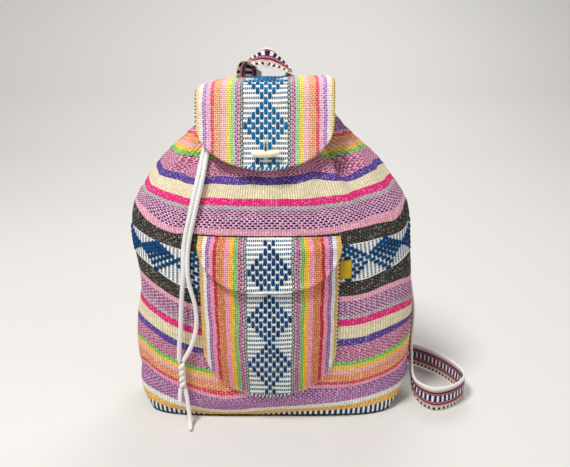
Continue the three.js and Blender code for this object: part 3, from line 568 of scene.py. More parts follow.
def raised_yarn_tree():
    """Geometry nodes: a short raised yarn on each point, turned by the point's own directions."""
    tree = bpy.data.node_groups.new("raised_yarns", "GeometryNodeTree")
    kinds = {"Geometry": "Geometry", **dict.fromkeys(YARN_SIZES, "Float"), "Yarn": "Material"}
    for name, kind in kinds.items():
        tree.interface.new_socket(name, in_out="INPUT", socket_type="NodeSocket" + kind)
    tree.interface.new_socket("Geometry", in_out="OUTPUT", socket_type="NodeSocketGeometry")

    def add(kind, inputs, output=0, **settings):
        return add_node(tree, kind, inputs, **settings).outputs[output]

    given = tree.nodes.new("NodeGroupInput").outputs
    yarn = add("GeometryNodeMeshUVSphere", {"Segments": 8, "Rings": 5, "Radius": 0.5}, "Mesh")
    out, lie = (
        add("GeometryNodeInputNamedAttribute", {"Name": name}, "Attribute", data_type="FLOAT_VECTOR")
        for name in ("out", "lie")
    )
    axes = {"Primary Axis": out, "Secondary Axis": lie}
    turned = add("FunctionNodeAxesToRotation", axes, primary_axis="Z", secondary_axis="X")
    size = add("ShaderNodeCombineXYZ", {i: given[name] for i, name in enumerate(YARN_SIZES)})
    laid = {"Points": given["Geometry"], "Instance": yarn, "Rotation": turned, "Scale": size}
    real = add("GeometryNodeRealizeInstances", {0: add("GeometryNodeInstanceOnPoints", laid)})
    smooth = add("GeometryNodeSetShadeSmooth", {0: real})
    coated = add("GeometryNodeSetMaterial", {"Geometry": smooth, "Material": given["Yarn"]})
    add_node(tree, "NodeGroupOutput", {0: coated})
    return tree


raised_yarns = raised_yarn_tree()


def yarn_rows(name, points, out, lie, size, stand, material, slot):
    """One piece of many short yarns: sizes are length, width and height in millimetres."""
    mesh = bpy.data.meshes.new(name)
    mesh.from_pydata(((points + stand * out) * MM).tolist(), [], [])
    carry(mesh, "out", out)
    carry(mesh, "lie", lie)
    tint = mesh.attributes.new("tint", "FLOAT", "POINT")
    tint.data.foreach_set("value", np.mod(np.arange(len(points)) * TINT_STEP, 1.0).astype(np.float32))
    piece = link_object(name, mesh)
    lay = piece.modifiers.new("yarns", "NODES")
    lay.node_group = raised_yarns
    inputs = [item for item in raised_yarns.interface.items_tree if item.in_out == "INPUT"]
    sockets = {item.name: item.identifier for item in inputs}
    for key, value in zip(YARN_SIZES, size):
        lay[sockets[key]] = float(value * MM)
    lay[sockets["Yarn"]] = material
    made = piece.evaluated_get(bpy.context.evaluated_depsgraph_get())
    real = bpy.data.meshes.new_from_object(made)
    real.name = name
    piece.modifiers.clear()
    piece.data = real
    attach(piece, "bag")


def yarn_finish(name, deep, bright):
    """Loose spun yarn: a fine twist along each float, and every float a little lighter or darker."""
    material = new_finish(name, 0.93)
    tree = material.node_tree
    tint = Worked(tree, add_node(tree, "ShaderNodeAttribute", attribute_name="tint").outputs["Fac"])
    fibre = Worked(tree, tree.nodes.new("ShaderNodeTexCoord").outputs["Object"]).noise(1400.0)
    return coat(material, (fibre * 0.5 + tint * 0.6).mix(deep, bright), fibre, 0.0003, 0.5)


# Deep blue of the floats on the body and the pocket; the flap's floats have a paler copy of it, which is
# painted light.
blue_yarn = yarn_finish("blue_yarn", "#07284f", "#0f5080")


def diamond_spots(low, high):
    """The rows from low to high, of which row 0 is the widest of a diamond, and their floats' columns."""
    spots = []
    for row in range(low, high + 1):
        from_widest = abs((row + DIAMOND_REACH) % (2 * DIAMOND_REACH) - DIAMOND_REACH)
        for column in range(-DIAMOND_REACH, DIAMOND_REACH + 1):
            steps = abs(column) + from_widest
            if steps <= DIAMOND_REACH and steps % 2 == 1:
                spots.append((row, column * DIAMOND_COLUMN))
    return np.array(spots, float).T


for side, name in ((FRONT, "front_diamonds"), (BACK, "back_diamonds")):
    reach = np.ptp(panels[side].column_marks) / 2 - FLOAT_SIZE[0]
    low, high = np.interp((-reach, reach), *BAR_ROWS[side])
    rows, columns = diamond_spots(math.ceil(low), math.floor(high))
    point, out, lie, _ = panels[side].place(np.interp(rows, *BAR_ROWS[side][::-1]), columns)
    yarn_rows(name, point, out, lie, FLOAT_SIZE, FLOAT_STAND, blue_yarn, "body_cloth")

# Base
# One piece of the same heavy cloth, cut to a long rounded oblong and sewn in round its edge. Its blue and
# white bars lie across the bag, and its seam turns up a little under the sides.
BASE_BAND = 26.0
BASE_STRIPES = [
    (BASE_BAND, WHITE, WHITE), (38.0, "#efbf5f", "#f6dc9a"), (44.0, "#f3f1ec", "#e2ddd6"),
    (70.0, "#1d1c1b", "#55524c"),
]
BASE_RINGS, BASE_AROUND = 14, 240
BASE_TOP, BASE_UNDER, SEAM_TURN, BASE_SAG = CLOTH + 0.1, 0.1, 0.35, 0.18
base_cloth = woven_cloth("base_cloth", BASE_STRIPES, [(0.0, BASE_BAND)], BODY_REPEAT)


def tube_faces(rings, sides, first=0):
    at = first + np.arange(rings * sides).reshape(rings, sides)
    here, after = at[:-1], at[1:]
    return np.stack([here, np.roll(here, -1, 1), np.roll(after, -1, 1), after], -1).reshape(-1, 4)


def fan_faces(ring, tip):
    return np.stack([ring, np.roll(ring, -1), np.full(len(ring), tip)], -1)


def base_piece():
    """Rings of points round the middle, above and below, joined by the seam."""
    turn = np.linspace(0, 2, BASE_AROUND, endpoint=False)
    halves = ((FRONT, turn[turn < 1]), (BACK, 2 - turn[turn >= 1]))
    edge = np.vstack([bag_skin(side, across, np.full_like(across, LEVELS[0])) for side, across in halves])
    share = np.linspace(0, 1, BASE_RINGS + 1)[1:, None]
    flat = edge[None, :, :2] * share[..., None]
    turned_up = SEAM_TURN * ease(share, 0.93, 1.0)
    sag = BASE_SAG * (1 + np.sin(flat[..., 0] / 13) * np.cos(flat[..., 1] / 11)) * (share < 0.97)
    top = np.dstack([flat, np.broadcast_to(BASE_TOP - turned_up, flat.shape[:2])])
    middles = np.array([[0, 0, BASE_TOP], [0, 0, BASE_UNDER]])
    grids = [top, np.dstack([flat, turned_up + sag]), middles]
    total = BASE_RINGS * BASE_AROUND
    ring = np.arange(BASE_AROUND)
    rim = ring + total - BASE_AROUND
    rings = tube_faces(BASE_RINGS, BASE_AROUND)
    seam = np.stack([rim, np.roll(rim, -1), np.roll(rim, -1) + total, rim + total], -1)
    faces = [
        rings[:, ::-1], rings + total, seam[:, ::-1],
        fan_faces(ring, 2 * total), fan_faces(ring + total, 2 * total + 1)[:, ::-1],
    ]
    weaves = [np.stack([grid[..., 0], grid[..., 1], grid[..., 0] / BODY_ROW], -1) for grid in grids]
    piece = mesh_piece("woven_base", grids, faces, base_cloth, weaves)
    stands_for(piece, "base_panel")


base_piece()

# Pocket and pocket flap
# A round-ended patch of the same cloth with its stripes upright, sewn to the front down its sides and
# round the bottom. It stands full in the middle, and a short flap of its own is sewn on above it.
UPRIGHT_ENDS = (21.8, 25.8, 30.5, 34.4, 38.6, 43.1, 50.7, 53.8, 57.7, 61.9, 65.8, 76.0)
UPRIGHT_BAND, UPRIGHT_REPEAT = [(0.0, UPRIGHT_ENDS[0])], 4.3
# The pocket's yarns are deeper than the flap's: partly a deeper, less bleached dye, and partly painted
# shade, as the pocket hangs low and upright.
POCKET_DEEP_SHADED_YARNS = [
    (WHITE, WHITE), ("#1d1c20", "#cfccc8"), ("#e59fc3", "#7a2b58"), ("#61b44a", "#9bd384"),
    ("#fbae08", "#fdc95c"), ("#f08ba6", "#f6afc1"), ("#d16c37", "#e79d6f"), ("#c01526", "#d94a55"),
    ("#ee8aa6", "#f4aabf"), ("#cf9bcd", "#87478f"), ("#f8f5ef", "#eee9e2"), ("#e2a63f", "#efc77e"),
]
POCKET_HALF, POCKET_MOUTH, POCKET_BOTTOM, POCKET_ROUND = 73.0, 213.0, 33.0, 64.0
POCKET_BULGE, POCKET_MOUTH_BULGE = 13.0, 7.0
POCKET_FLAP_HALF, POCKET_FLAP_TOP, POCKET_FLAP_BOTTOM, POCKET_FLAP_ROUND = 73.6, 221.0, 165.4, 44.0
POCKET_CLOTH, POCKET_STRETCH, POCKET_HEM, POCKET_FLAP_CURL = 2.2, 1.035, 0.5, 1.4
# Each sway of the pocket: how far it goes, and how fast it turns across and upwards.
POCKET_SWAYS = [(0.8, 17, 37), (0.5, -23, 15)]
POCKET_SELVAGE, POCKET_COLUMNS = 69.3, 84
# The rows of the pocket are beaten looser below its middle: rows, and how far down from the widest row.
POCKET_ROW, POCKET_ROWS = 5.35, (-30, 9, 29)
POCKET_DOWN = tuple(POCKET_ROW * row for row in (-30, 9, 9 + 20 * 1.3))
pocket_stripes = [(end, *yarns) for end, yarns in zip(UPRIGHT_ENDS, POCKET_DEEP_SHADED_YARNS)]
pocket_cloth = woven_cloth("pocket_cloth", pocket_stripes, UPRIGHT_BAND, UPRIGHT_REPEAT, POCKET_SELVAGE)
pocket_flap_cloth = woven_cloth("pocket_flap_cloth", pocket_stripes, UPRIGHT_BAND, UPRIGHT_REPEAT)

# How far forward the finished front stands, on an even grid of places seen from the front.
TABLE_STEP, SLOPE_STEP = 2.0, 3
table_x, table_z = np.arange(-130.0, 130.5, TABLE_STEP), np.arange(6.0, 340.0, TABLE_STEP)
levels = panels[FRONT].points.transpose(1, 0, 2)
by_level = np.stack([np.interp(table_x, level[:, 0], level[:, 1]) for level in levels], 1)
table_y = np.stack([np.interp(table_z, levels[:, 0, 2], column) for column in by_level])


def read_table(x, z):
    i = np.clip((x - table_x[0]) / TABLE_STEP, 0, len(table_x) - 1.001)
    j = np.clip((z - table_z[0]) / TABLE_STEP, 0, len(table_z) - 1.001)
    a, b = i.astype(int), j.astype(int)
    low, high = ((1 - i + a) * table_y[a, k] + (i - a) * table_y[a + 1, k] for k in (b, b + 1))
    return (1 - j + b) * low + (j - b) * high


def on_front(x, z, stand):
    """A point that stands off the finished front."""
    slope_x = (read_table(x + SLOPE_STEP, z) - read_table(x - SLOPE_STEP, z)) / (2 * SLOPE_STEP)
    slope_z = (read_table(x, z + SLOPE_STEP) - read_table(x, z - SLOPE_STEP)) / (2 * SLOPE_STEP)
    out = unit(np.stack([slope_x, -np.ones_like(slope_x), slope_z], -1))
    return np.stack([x, read_table(x, z), z], -1) + out * stand[..., None]


def rounded_end(x, half, depth):
    return depth * (1 - np.sqrt(np.maximum(0, 1 - (x / half) ** 2)))


def pocket_stand(x, height):
    """How far the pocket's inner face stands off the front."""
    share = np.minimum(np.abs(x) / POCKET_HALF, 1)
    bottom = POCKET_BOTTOM + rounded_end(share * POCKET_HALF, POCKET_HALF, POCKET_ROUND)
    fall = np.clip((POCKET_MOUTH - height) / (POCKET_MOUTH - bottom), 0, 1)
    full = POCKET_MOUTH_BULGE + (POCKET_BULGE - POCKET_MOUTH_BULGE) * np.sin(np.pi * fall)
    sway = sum(far * np.sin(x / turn + height / rise) for far, turn, rise in POCKET_SWAYS)
    return SEWN_GAP + (full + sway) * (1 - share**4) * (1 - fall**6)


def pocket_place(x, v):
    """A height, and how far the inner and outer faces stand off the front there."""
    bottom = POCKET_BOTTOM + rounded_end(x, POCKET_HALF, POCKET_ROUND)
    height = POCKET_MOUTH + v * (bottom - POCKET_MOUTH)
    under = pocket_stand(x, height)
    return height, under, under + POCKET_CLOTH * (1 + POCKET_HEM * bump_at(POCKET_MOUTH - height, 4, 4))


def pocket_flap_place(x, v):
    """The same for the pocket's flap, which lifts over the mouth and curls at its edge."""
    bottom = POCKET_FLAP_BOTTOM + rounded_end(x, POCKET_FLAP_HALF, POCKET_FLAP_ROUND)
    height = POCKET_FLAP_TOP + v**1.15 * (bottom - POCKET_FLAP_TOP)
    lift = ease(POCKET_FLAP_TOP - height, 0, POCKET_FLAP_TOP - POCKET_MOUTH + 4)
    over = pocket_stand(x, np.minimum(height, POCKET_MOUTH)) + 1.5 * POCKET_CLOTH + 1.0
    edge = np.minimum(POCKET_FLAP_HALF - np.abs(x), (height - bottom) * 0.9)
    curl = POCKET_FLAP_CURL * (1 - ease(edge, 0, 9)) * ease(v, 0.35, 0.8)
    under = SEWN_GAP + lift * (over - SEWN_GAP) + curl
    return height, under, under + POCKET_CLOTH * (1 + POCKET_HEM / 2 * bump_at(edge, 2.5, 2))


def patch_grid(rows, half, place):
    """A grid of cloth with upright stripes. Place gives its heights and how far each face stands off."""
    share = np.linspace(-1, 1, POCKET_COLUMNS + 1)
    x = half * np.sign(share) * (1 - (1 - np.abs(share)) ** 1.35)
    across, v = np.broadcast_arrays(x[:, None], np.linspace(0, 1, rows + 1)[None, :])
    height, under, over = place(across, v)
    outer, inner = on_front(across, height, over), on_front(across, height, under)
    return ClothGrid(outer, inner, x, running(outer, 1))


def round_ended(width, length, depth):
    return (width * length - (1 - math.pi / 4) * width * depth) * MM * MM


pocket_grid = patch_grid(130, POCKET_HALF, pocket_place)
pocket_flap_grid = patch_grid(64, POCKET_FLAP_HALF, pocket_flap_place)
POCKET_FLAT = (152.0, POCKET_MOUTH - POCKET_BOTTOM + 5)
POCKET_FLAP_FLAT = (154.0, POCKET_FLAP_TOP - POCKET_FLAP_BOTTOM + 4)
# Each patch: its grid and cloth, how far down its widest row of floats is and the rows that it has, its
# flat size and rounded end, how it is held, and the solids it lies on.
for node, grid, cloth, widest, low, high, flat, depth, held, under in (
    ("pocket", pocket_grid, pocket_cloth, 78.0, -5, 16, POCKET_FLAT, POCKET_ROUND, "stretched", []),
    (
        "pocket_flap", pocket_flap_grid, pocket_flap_cloth, 38.2, -6, 3, POCKET_FLAP_FLAT, POCKET_FLAP_ROUND,
        "hung", ["pocket"],
    ),
):
    down = grid.row_marks
    rows = np.interp(down - widest, POCKET_DOWN, POCKET_ROWS)
    weave = down, grid.column_marks[:, None] / POCKET_STRETCH, rows
    piece = cloth_sheet("woven_" + node, node, grid.points, grid.inner, weave, cloth)
    area = round_ended(*flat, depth)
    rests_on = under + ["front_panel"]
    flat[0] * MM
    flat[1] * MM
    rows, columns = diamond_spots(low, high)
    down = widest + np.interp(rows, POCKET_ROWS, POCKET_DOWN)
    point, out, _, lie = grid.place(columns * POCKET_STRETCH, down)
    yarn_rows(node + "_diamonds", point, out, lie, FLOAT_SIZE, FLOAT_STAND, blue_yarn, "flap_cloth")

thread = yarn_finish("white_thread", "#cfc8bd", "#f2efe9")
HEM_STITCH, HEM_STITCH_STAND, HEM_STITCH_SLANT, HEM_INSET = (4.6, 1.7, 1.5), 0.35, 0.55, 1.6
EDGE_STITCH, EDGE_STITCH_STAND, EDGE_STEP, EDGE_INSET, EDGE_TOP = (2.4, 0.7, 0.6), 0.12, 4.2, 1.8, 6


def hem_stitches(name, grid, x, edge, blue):
    """Slanting stitches, white and blue in turn, over the hem where a band of diamonds ends."""
    point, out, across, down = grid.place(x, edge - HEM_INSET)
    lie = unit(down - HEM_STITCH_SLANT * across)
    for colour, first, yarn in (("white", 0, thread), ("blue", 1, blue)):
        places = (values[first::2] for values in (point, out, lie))
        yarn_rows(f"{name}_{colour}", *places, HEM_STITCH, HEM_STITCH_STAND, yarn, "flap_cloth")


hem_x = np.arange(-20.0, 20.1, 2.0)
hem_edge = np.interp(hem_x, pocket_grid.column_marks, pocket_grid.row_marks[:, -1])
hem_stitches("pocket_hem", pocket_grid, hem_x, hem_edge, blue_yarn)

# Running stitches go down the sides of the pocket and round its end.
half, length = POCKET_HALF - EDGE_INSET, pocket_grid.row_marks[POCKET_COLUMNS // 2, -1]
turn = np.linspace(-math.pi / 2, math.pi / 2, 121)
down = np.linspace(EDGE_TOP, length - POCKET_ROUND, 60)
x = np.concatenate([np.full(60, -half), half * np.sin(turn), np.full(60, half)])
bottom = length - POCKET_ROUND + (POCKET_ROUND - EDGE_INSET) * np.cos(turn)
point, out, _, _ = pocket_grid.place(x, np.concatenate([down, bottom, down[::-1]]))


def spread(values, along, even):
    """Values that are known along a line, read at even places on it."""
    return np.stack([np.interp(even, along, column) for column in values.T], 1)


along = running(point, 0)
even = np.arange(EDGE_STEP / 2, along[-1], EDGE_STEP)
point, out = spread(point, along, even), unit(spread(out, along, even))
lie = unit(np.gradient(point, axis=0))
yarn_rows("pocket_stitches", point, out, lie, EDGE_STITCH, EDGE_STITCH_STAND, thread, "cotton_cord")

# Label
# A short piece of mustard ribbon, folded in half and caught in the pocket's right seam. It is left plain,
# with only the ribbon's own fine ribs and selvages.
LABEL_WIDTH, LABEL_HEIGHT, LABEL_LEVEL = 12.4, 21.0, 184.5
LABEL_FLAT, LABEL_TAPER, LABEL_FOLD = (0.013, 0.021), 0.03, 0.12
RIB_PITCH, SELVAGE_FROM = 0.8, 0.44


def ribbon_finish():
    material = new_finish("mustard_ribbon", 0.7)
    place, _, across, _ = weave_of(material)
    rib = (across * (2 * math.pi / RIB_PITCH)).sine()
    edge = abs(across) > SELVAGE_FROM * LABEL_HEIGHT
    colour = place.noise(0.8, 3.0).mix("#bd9416", "#dcb52c")
    return coat(material, (edge * 0.6).mix(colour, "#8d6d10"), rib, 0.0002, 0.5)


u, v = np.meshgrid(np.linspace(0, 1, 29), np.linspace(-0.5, 0.5, 31), indexing="ij")
x = POCKET_FLAP_HALF + SEAM_GAP + u * LABEL_WIDTH
z = LABEL_LEVEL + v * LABEL_HEIGHT * (1 - LABEL_TAPER * u)
lift = SEWN_GAP + 1.6 * np.sin(0.8 * np.pi * u) + 0.3 * np.sin(5 * v + 2 * u)
fold = np.sqrt(np.clip((1 - u) / LABEL_FOLD, 0, 1))
outer, inner = on_front(x, z, lift + 0.3 + 0.5 * fold), on_front(x, z, lift)
weave = u * LABEL_WIDTH, v * LABEL_HEIGHT, 0
label = cloth_sheet("ribbon_label", "label", outer, inner, weave, ribbon_finish())

# Drawstring
# One braided white cotton cord, 5 mm thick, threaded through the folds of the neck. Its two ends come out
# on the left, lie down the front together, hang, and are tied together in a knot near the ground.
CORD_RADIUS, KNOT_RADIUS, CORD_STEP, CORD_SIDES, CAP_RINGS = 2.5, 2.3, 0.75, 24, 6
CORD_LAY = CORD_RADIUS + SEWN_GAP
BRAID_PITCH, BRAID_STRANDS, BRAID_RELIEF = 6.4, 4, 0.09
CURVE_POINTS = 48


def smooth_line(stops, step=CORD_STEP, carried=None, count=None):
    """Evenly spaced points on a smooth curve through the stops, how far along each is, and what the stops
    carry, blended."""
    beyond = lambda values: np.vstack([2 * values[0] - values[1], values, 2 * values[-1] - values[-2]])
    p = np.array(stops, float)
    count = count or int(running(p, 0)[-1] / step)
    extra = beyond(np.zeros((len(p), 1)) if carried is None else carried)
    p = beyond(p)
    gap = np.linalg.norm(np.diff(p, axis=0), axis=1) ** 0.5
    start, end, out, back = hermite(np.arange(CURVE_POINTS)[:, None] / CURVE_POINTS)
    fine, fine_extra = [], []
    for i in range(1, len(p) - 2):
        before, here, after = gap[i - 1 : i + 2]
        straight = (p[i + 1] - p[i]) / here
        leave = (p[i] - p[i - 1]) / before - (p[i + 1] - p[i - 1]) / (before + here) + straight
        reach = straight - (p[i + 2] - p[i]) / (here + after) + (p[i + 2] - p[i + 1]) / after
        fine.append(start * p[i] + end * p[i + 1] + here * (out * leave + back * reach))
        bend = 0.5 * (out * (extra[i + 1] - extra[i - 1]) + back * (extra[i + 2] - extra[i]))
        fine_extra.append(start * extra[i] + end * extra[i + 1] + bend)
    fine, fine_extra = np.vstack([*fine, p[-2]]), np.vstack([*fine_extra, extra[-2]])
    along = running(fine, 0)
    even = np.linspace(0, along[-1], count)
    return spread(fine, along, even), even, spread(fine_extra, along, even)


def cord_rings(line, even, radius, sides):
    """Rings of a braided cord round a line, with the diamonds of the braid raised on it."""
    tangent = unit(np.gradient(line, axis=0))
    side = np.zeros_like(line)
    start = np.array([1.0, 0, 0]) if abs(tangent[0, 0]) < 0.9 else np.array([0, 1.0, 0])
    side[0] = start - tangent[0] * (start @ tangent[0])
    for i in range(1, len(line)):
        side[i] = side[i - 1] - tangent[i] * (side[i - 1] @ tangent[i])
    side = unit(side)
    angle = np.linspace(0, 2 * np.pi, sides, endpoint=False)[:, None]
    ring = side[:, None] * np.cos(angle) + np.cross(tangent, side)[:, None] * np.sin(angle)
    wind, lay = 2 * np.pi * even[:, None] / BRAID_PITCH, BRAID_STRANDS * angle.T
    raised = np.cos(lay + wind) * np.cos(lay - wind)
    size = radius * (1 - BRAID_RELIEF / 2 + BRAID_RELIEF / 2 * raised)
    weave = np.stack(np.broadcast_arrays(even[:, None], angle.T * radius, raised), -1)
    return line[:, None] + ring * size[..., None], weave


def tube_ends(rings, sides, first=0):
    """The faces of a tube that is closed by a point at each end, after the points of its rings."""
    total, ring = rings * sides, first + np.arange(sides)
    start = fan_faces(ring, first + total)[:, ::-1]
    return [tube_faces(rings, sides, first), start, fan_faces(ring + total - sides, first + total + 1)]


def braided_cord(name, lines, material, radius, sides=CORD_SIDES):
    """One or more lengths of the cord as one piece, each closed by a rounded, cut end."""
    grids, weaves, faces, count = [], [], [], 0
    for line, even, *_ in lines:
        rings, weave = cord_rings(line, even, radius, sides)
        cap = min(CAP_RINGS, len(line) // 3)
        for k in range(cap):
            shrink = math.sqrt(1 - (1 - (k + 0.35) / cap) ** 2)
            for end in (k, -1 - k):
                rings[end] = line[end] + (rings[end] - line[end]) * shrink
        grids += [rings, line[:1], line[-1:]]
        weaves += [weave, weave[0, :1], weave[-1, :1]]
        faces += tube_ends(len(line), sides, count)
        count += len(line) * sides + 2
    return mesh_piece(name, grids, faces, material, weaves)


def cotton_cord_finish():
    material = new_finish("braided_cotton", 0.92)
    _, along, around, raised = weave_of(material)
    fibres = vector(along * 0.9, around, raised).noise(2.6, 3.0)
    soil = vector(along * 0.05, around).noise(0.6)
    # Painted shade: the braid's grooves are darker than its raised diamonds. The fibres and the soil vary at
    # random.
    colour = (fibres * 0.35 + (raised * 0.5 + 0.5)).mix("#dcd8d2", "#faf9f6")
    return coat(material, (soil * 0.12).mix(colour, "#d8d0c3"), fibres, 0.0004, 0.5)


cotton_cord = cotton_cord_finish()


def lying(x, level):
    """A stop of a cord that lies on the front's gathers: shares of the half width and of the height."""
    x, z = x * BELLY_HALF_WIDTH, level * BAG_HEIGHT

    def depth_of(px, pz):
        square = square_at(pz)
        share = np.minimum(np.abs(px) / side_at(pz, px), 0.98) ** square
        return depth_at[FRONT](pz) * (1 - share) ** (1 / square) + SEAM_GAP / 2

    slope_x = depth_of(x + 0.5, z) - depth_of(x - 0.5, z)
    slope_z = depth_of(x, z + 0.5) - depth_of(x, z - 0.5)
    out = unit(np.array([-slope_x, -1.0, -slope_z]))
    return np.array([x, -depth_of(x, z), z]) + out * (gather_at(z) + CORD_LAY)


HANGING_Y = lying(-0.4845, 0.41)[1]
KNOT_X, KNOT_TOP, KNOT_LENGTH = -0.6056 * BELLY_HALF_WIDTH, 0.2077 * BAG_HEIGHT, 30.0
KNOT_BOTTOM = KNOT_TOP - KNOT_LENGTH
KNOT_TURNS, KNOT_PULL, KNOT_STOPS, KNOT_STEP = 2, 0.9, 33, 0.7
STRAND_APART = CORD_RADIUS + SEAM_GAP / 2
FIRST_VALLEY, NEXT_VALLEY, QUARTER_FOLD = 1.5 / FOLDS, 2.5 / FOLDS, 0.25 / FOLDS
BEND_HEIGHT, SHOULDER_HEIGHT, EXIT_HEIGHT = (NECK_HEIGHT - down * CORD_RADIUS for down in (1.2, 3.6, 7.2))
RUN_POINTS = 24


def hanging(x, level):
    return np.array([x * BELLY_HALF_WIDTH, HANGING_Y, level * BAG_HEIGHT])


def by_knot(hand, height):
    return np.array([KNOT_X + hand * STRAND_APART, HANGING_Y, height])


def below_knot(x, forward, height):
    return np.array([KNOT_X, HANGING_Y, 0.0]) + CORD_RADIUS * np.array([x, -forward, height])


def cord_exit(valley):
    """Where an end comes out of a valley of the gathers: its held stops, and its first free ones."""
    bend, shoulder, end = (
        bag_skin(FRONT, valley, height, -stand, worn=False)
        for height, stand in (
            (BEND_HEIGHT, CORD_RADIUS), (SHOULDER_HEIGHT, GATHER_DEPTH),
            (EXIT_HEIGHT, gather_at(EXIT_HEIGHT) + CORD_LAY),
        )
    )
    onward = unit(end - shoulder)
    return [bend, shoulder, end], [end + SEAM_GAP * onward, end + CORD_RADIUS * onward]


first_held, first_free = cord_exit(FIRST_VALLEY)
next_held, next_free = cord_exit(NEXT_VALLEY)
neck_stops = first_held[::-1]
for side, start, end in (
    (FRONT, FIRST_VALLEY - QUARTER_FOLD, 0), (BACK, 0, 1), (FRONT, 1, NEXT_VALLEY + QUARTER_FOLD),
):
    count = math.ceil(abs(end - start) * RUN_POINTS)
    for i in range(count):
        neck_stops.append(bag_skin(side, start + (end - start) * i / count, NECK_HEIGHT, worn=False))
neck_stops += next_held
# The levels at which the two ends lie on the front, then hang, and how far across each one is there.
LYING_LEVELS, HANGING_LEVELS = (0.874, 0.839, 0.754, 0.6585, 0.571), (0.4836, 0.3907, 0.3087, 0.2623)
LEFT_ACROSS = (-0.366, -0.4, -0.4505, -0.507, -0.551, -0.566, -0.587, -0.602, -0.615)
RIGHT_ACROSS = (-0.304, -0.368, -0.4205, -0.4768, -0.5208, -0.533, -0.494, -0.494, -0.534)
RIGHT_HANGING = (0.4836, 0.3907, 0.325, 0.2623)
left_stops, right_stops = (
    free + [lying(x, level) for x, level in zip(across, LYING_LEVELS)]
    + [hanging(x, level) for x, level in zip(across[len(LYING_LEVELS):], hangs)]
    + [by_knot(hand, KNOT_TOP + CORD_RADIUS), by_knot(hand, KNOT_TOP + SEAM_GAP)]
    for hand, free, across, hangs in (
        (-1, first_free, LEFT_ACROSS, HANGING_LEVELS), (1, next_free, RIGHT_ACROSS, RIGHT_HANGING),
    )
)
long_stops = [
    by_knot(1, KNOT_BOTTOM - SEAM_GAP), by_knot(1, KNOT_BOTTOM - CORD_RADIUS), below_knot(1.8, 0.6, 12),
    below_knot(2.6, 2, 5.2), below_knot(3.2, 4.4, 1.4), below_knot(3.6, 7.6, 1.12),
]
short_stops = [
    by_knot(-1, KNOT_BOTTOM - SEAM_GAP), by_knot(-1, KNOT_BOTTOM - CORD_RADIUS),
    below_knot(-1.4, 0.4, 14.4), below_knot(-1.6, 1, 10),
]

# In the knot the two strands are laid twice round each other and pulled tight.
share = np.linspace(0, 1, KNOT_STOPS)
angle = 2 * math.pi * KNOT_TURNS * share
pull = KNOT_PULL * np.maximum(0, np.sin(math.pi * share)) ** 0.5
knot_lines = []
for hand in (-1, 1):
    apart = hand * (STRAND_APART - pull)
    x, y = KNOT_X + apart * np.cos(angle), HANGING_Y - apart * np.sin(angle)
    stops = np.stack([x, y, KNOT_TOP - KNOT_LENGTH * share], 1)
    knot_lines.append(smooth_line(stops, KNOT_STEP))

cords = {}
for name, lines, radius in (
    ("neck_run", [smooth_line(neck_stops)], CORD_RADIUS),
    ("left_end", [smooth_line(left_stops)], CORD_RADIUS),
    ("right_end", [smooth_line(right_stops)], CORD_RADIUS),
    ("long_tail", [smooth_line(long_stops)], CORD_RADIUS),
    ("short_tail", [smooth_line(short_stops)], CORD_RADIUS),
    ("knot", knot_lines, KNOT_RADIUS),
):
    piece = braided_cord("cord_" + name, lines, cotton_cord, radius)
    cords[name] = stands_for(piece, "drawstring_" + name)

for name, stops, length, far_end, on_it in (
    ("left_end", left_stops, 269.7, "knot", [cords["knot"], cords["short_tail"]]),
    ("right_end", right_stops, 281.4, "knot", []),
    ("long_tail", long_stops, 53.1, "bare", []),
):
    route = [tuple(stop * MM) for stop in smooth_line(stops, 2.0)[0]]
    length * MM

# Flap
# Two layers of the striped cloth, with the stripes upright, sewn together. It is sewn to the back below
# the mouth, goes over the mouth and hangs free in front, with a worked buttonhole for the toggle.
# The flap's yarns are paler than the body's and the pocket's: partly sun-bleached, and partly painted light,
# as the flap leans back towards the light from above.
FLAP_PALE_LIT_YARNS = [
    (WHITE, WHITE), ("#1d1c20", "#cfccc8"), ("#efbcd6", "#8a3a66"), ("#84d36c", "#c2eaae"),
    ("#fbcf22", "#fdea86"), ("#f7aec2", "#fbd2dd"), ("#f0955f", "#fac9a4"), ("#e1233f", "#f38b98"),
    ("#f7abc3", "#fbcedb"), ("#eabfe6", "#a565ae"), ("#f8f5ef", "#eee9e2"), ("#f2c765", "#fae6b2"),
]
FLAP_HALF, FLAP_SHIFT, FLAP_ROUND, FLAP_BOW, FLAP_THICKNESS = 70.0, -3.0, 50.0, 9.0, 3.0
FLAP_DROOP, FLAP_RAISE, FLAP_LEFT_SPREAD, DROOP_RISE = 5.5, 4.2, 1.035, (335, 368)
FLAP_ROW, FLAP_SELVAGE, FLAP_FLOATS = 5.05, -68.6, (-25, 9)
# Ripples and curls grow towards the edges and where the flap hangs free.
EDGE_FROM, HANG_FROM, END_FROM, TIP_FROM = (48, 70), (0.72, 1.0), (0.9, 1.0), (0.95, 1.0)
EDGE_RIPPLE, HANG_RIPPLE, EDGE_CURL, TIP_CURL = 0.9, 0.7, 3.2, 1.2
RIPPLE_HANGING, RIPPLE_HELD = 0.7, 0.25
FLAP_COLUMNS, FLAP_ROWS, FLAP_POINTS = 36, 200, 1201
# The flap's run, seen from the side, from its back seam to its front edge.
FLAP_SIDE = [
    (48.09, 305.98), (46.91, 322.48), (45.33, 344.49), (44.15, 361), (35.32, 371.5), (0, 372.5),
    (-35.32, 371.5), (-44.15, 361), (-51.23, 339.66), (-60.67, 311.21), (-67.74, 289.87),
]
flap_stripes = [(end, *yarns) for end, yarns in zip(UPRIGHT_ENDS, FLAP_PALE_LIT_YARNS)]
flap_cloth = woven_cloth("flap_cloth", flap_stripes, UPRIGHT_BAND, UPRIGHT_REPEAT, FLAP_SELVAGE)

flap_line, flap_even, _ = smooth_line([(0, y, z) for y, z in FLAP_SIDE], count=FLAP_POINTS)
flap_tangent = unit(np.gradient(flap_line, axis=0))
flap_length = flap_even[-1]


def along_flap(height):
    """How far along the flap its front hangs at a height."""
    in_front = flap_line[:, 1] < FLAP_SIDE[7][0]
    return float(np.interp(-height, -flap_line[in_front, 2], flap_even[in_front]))


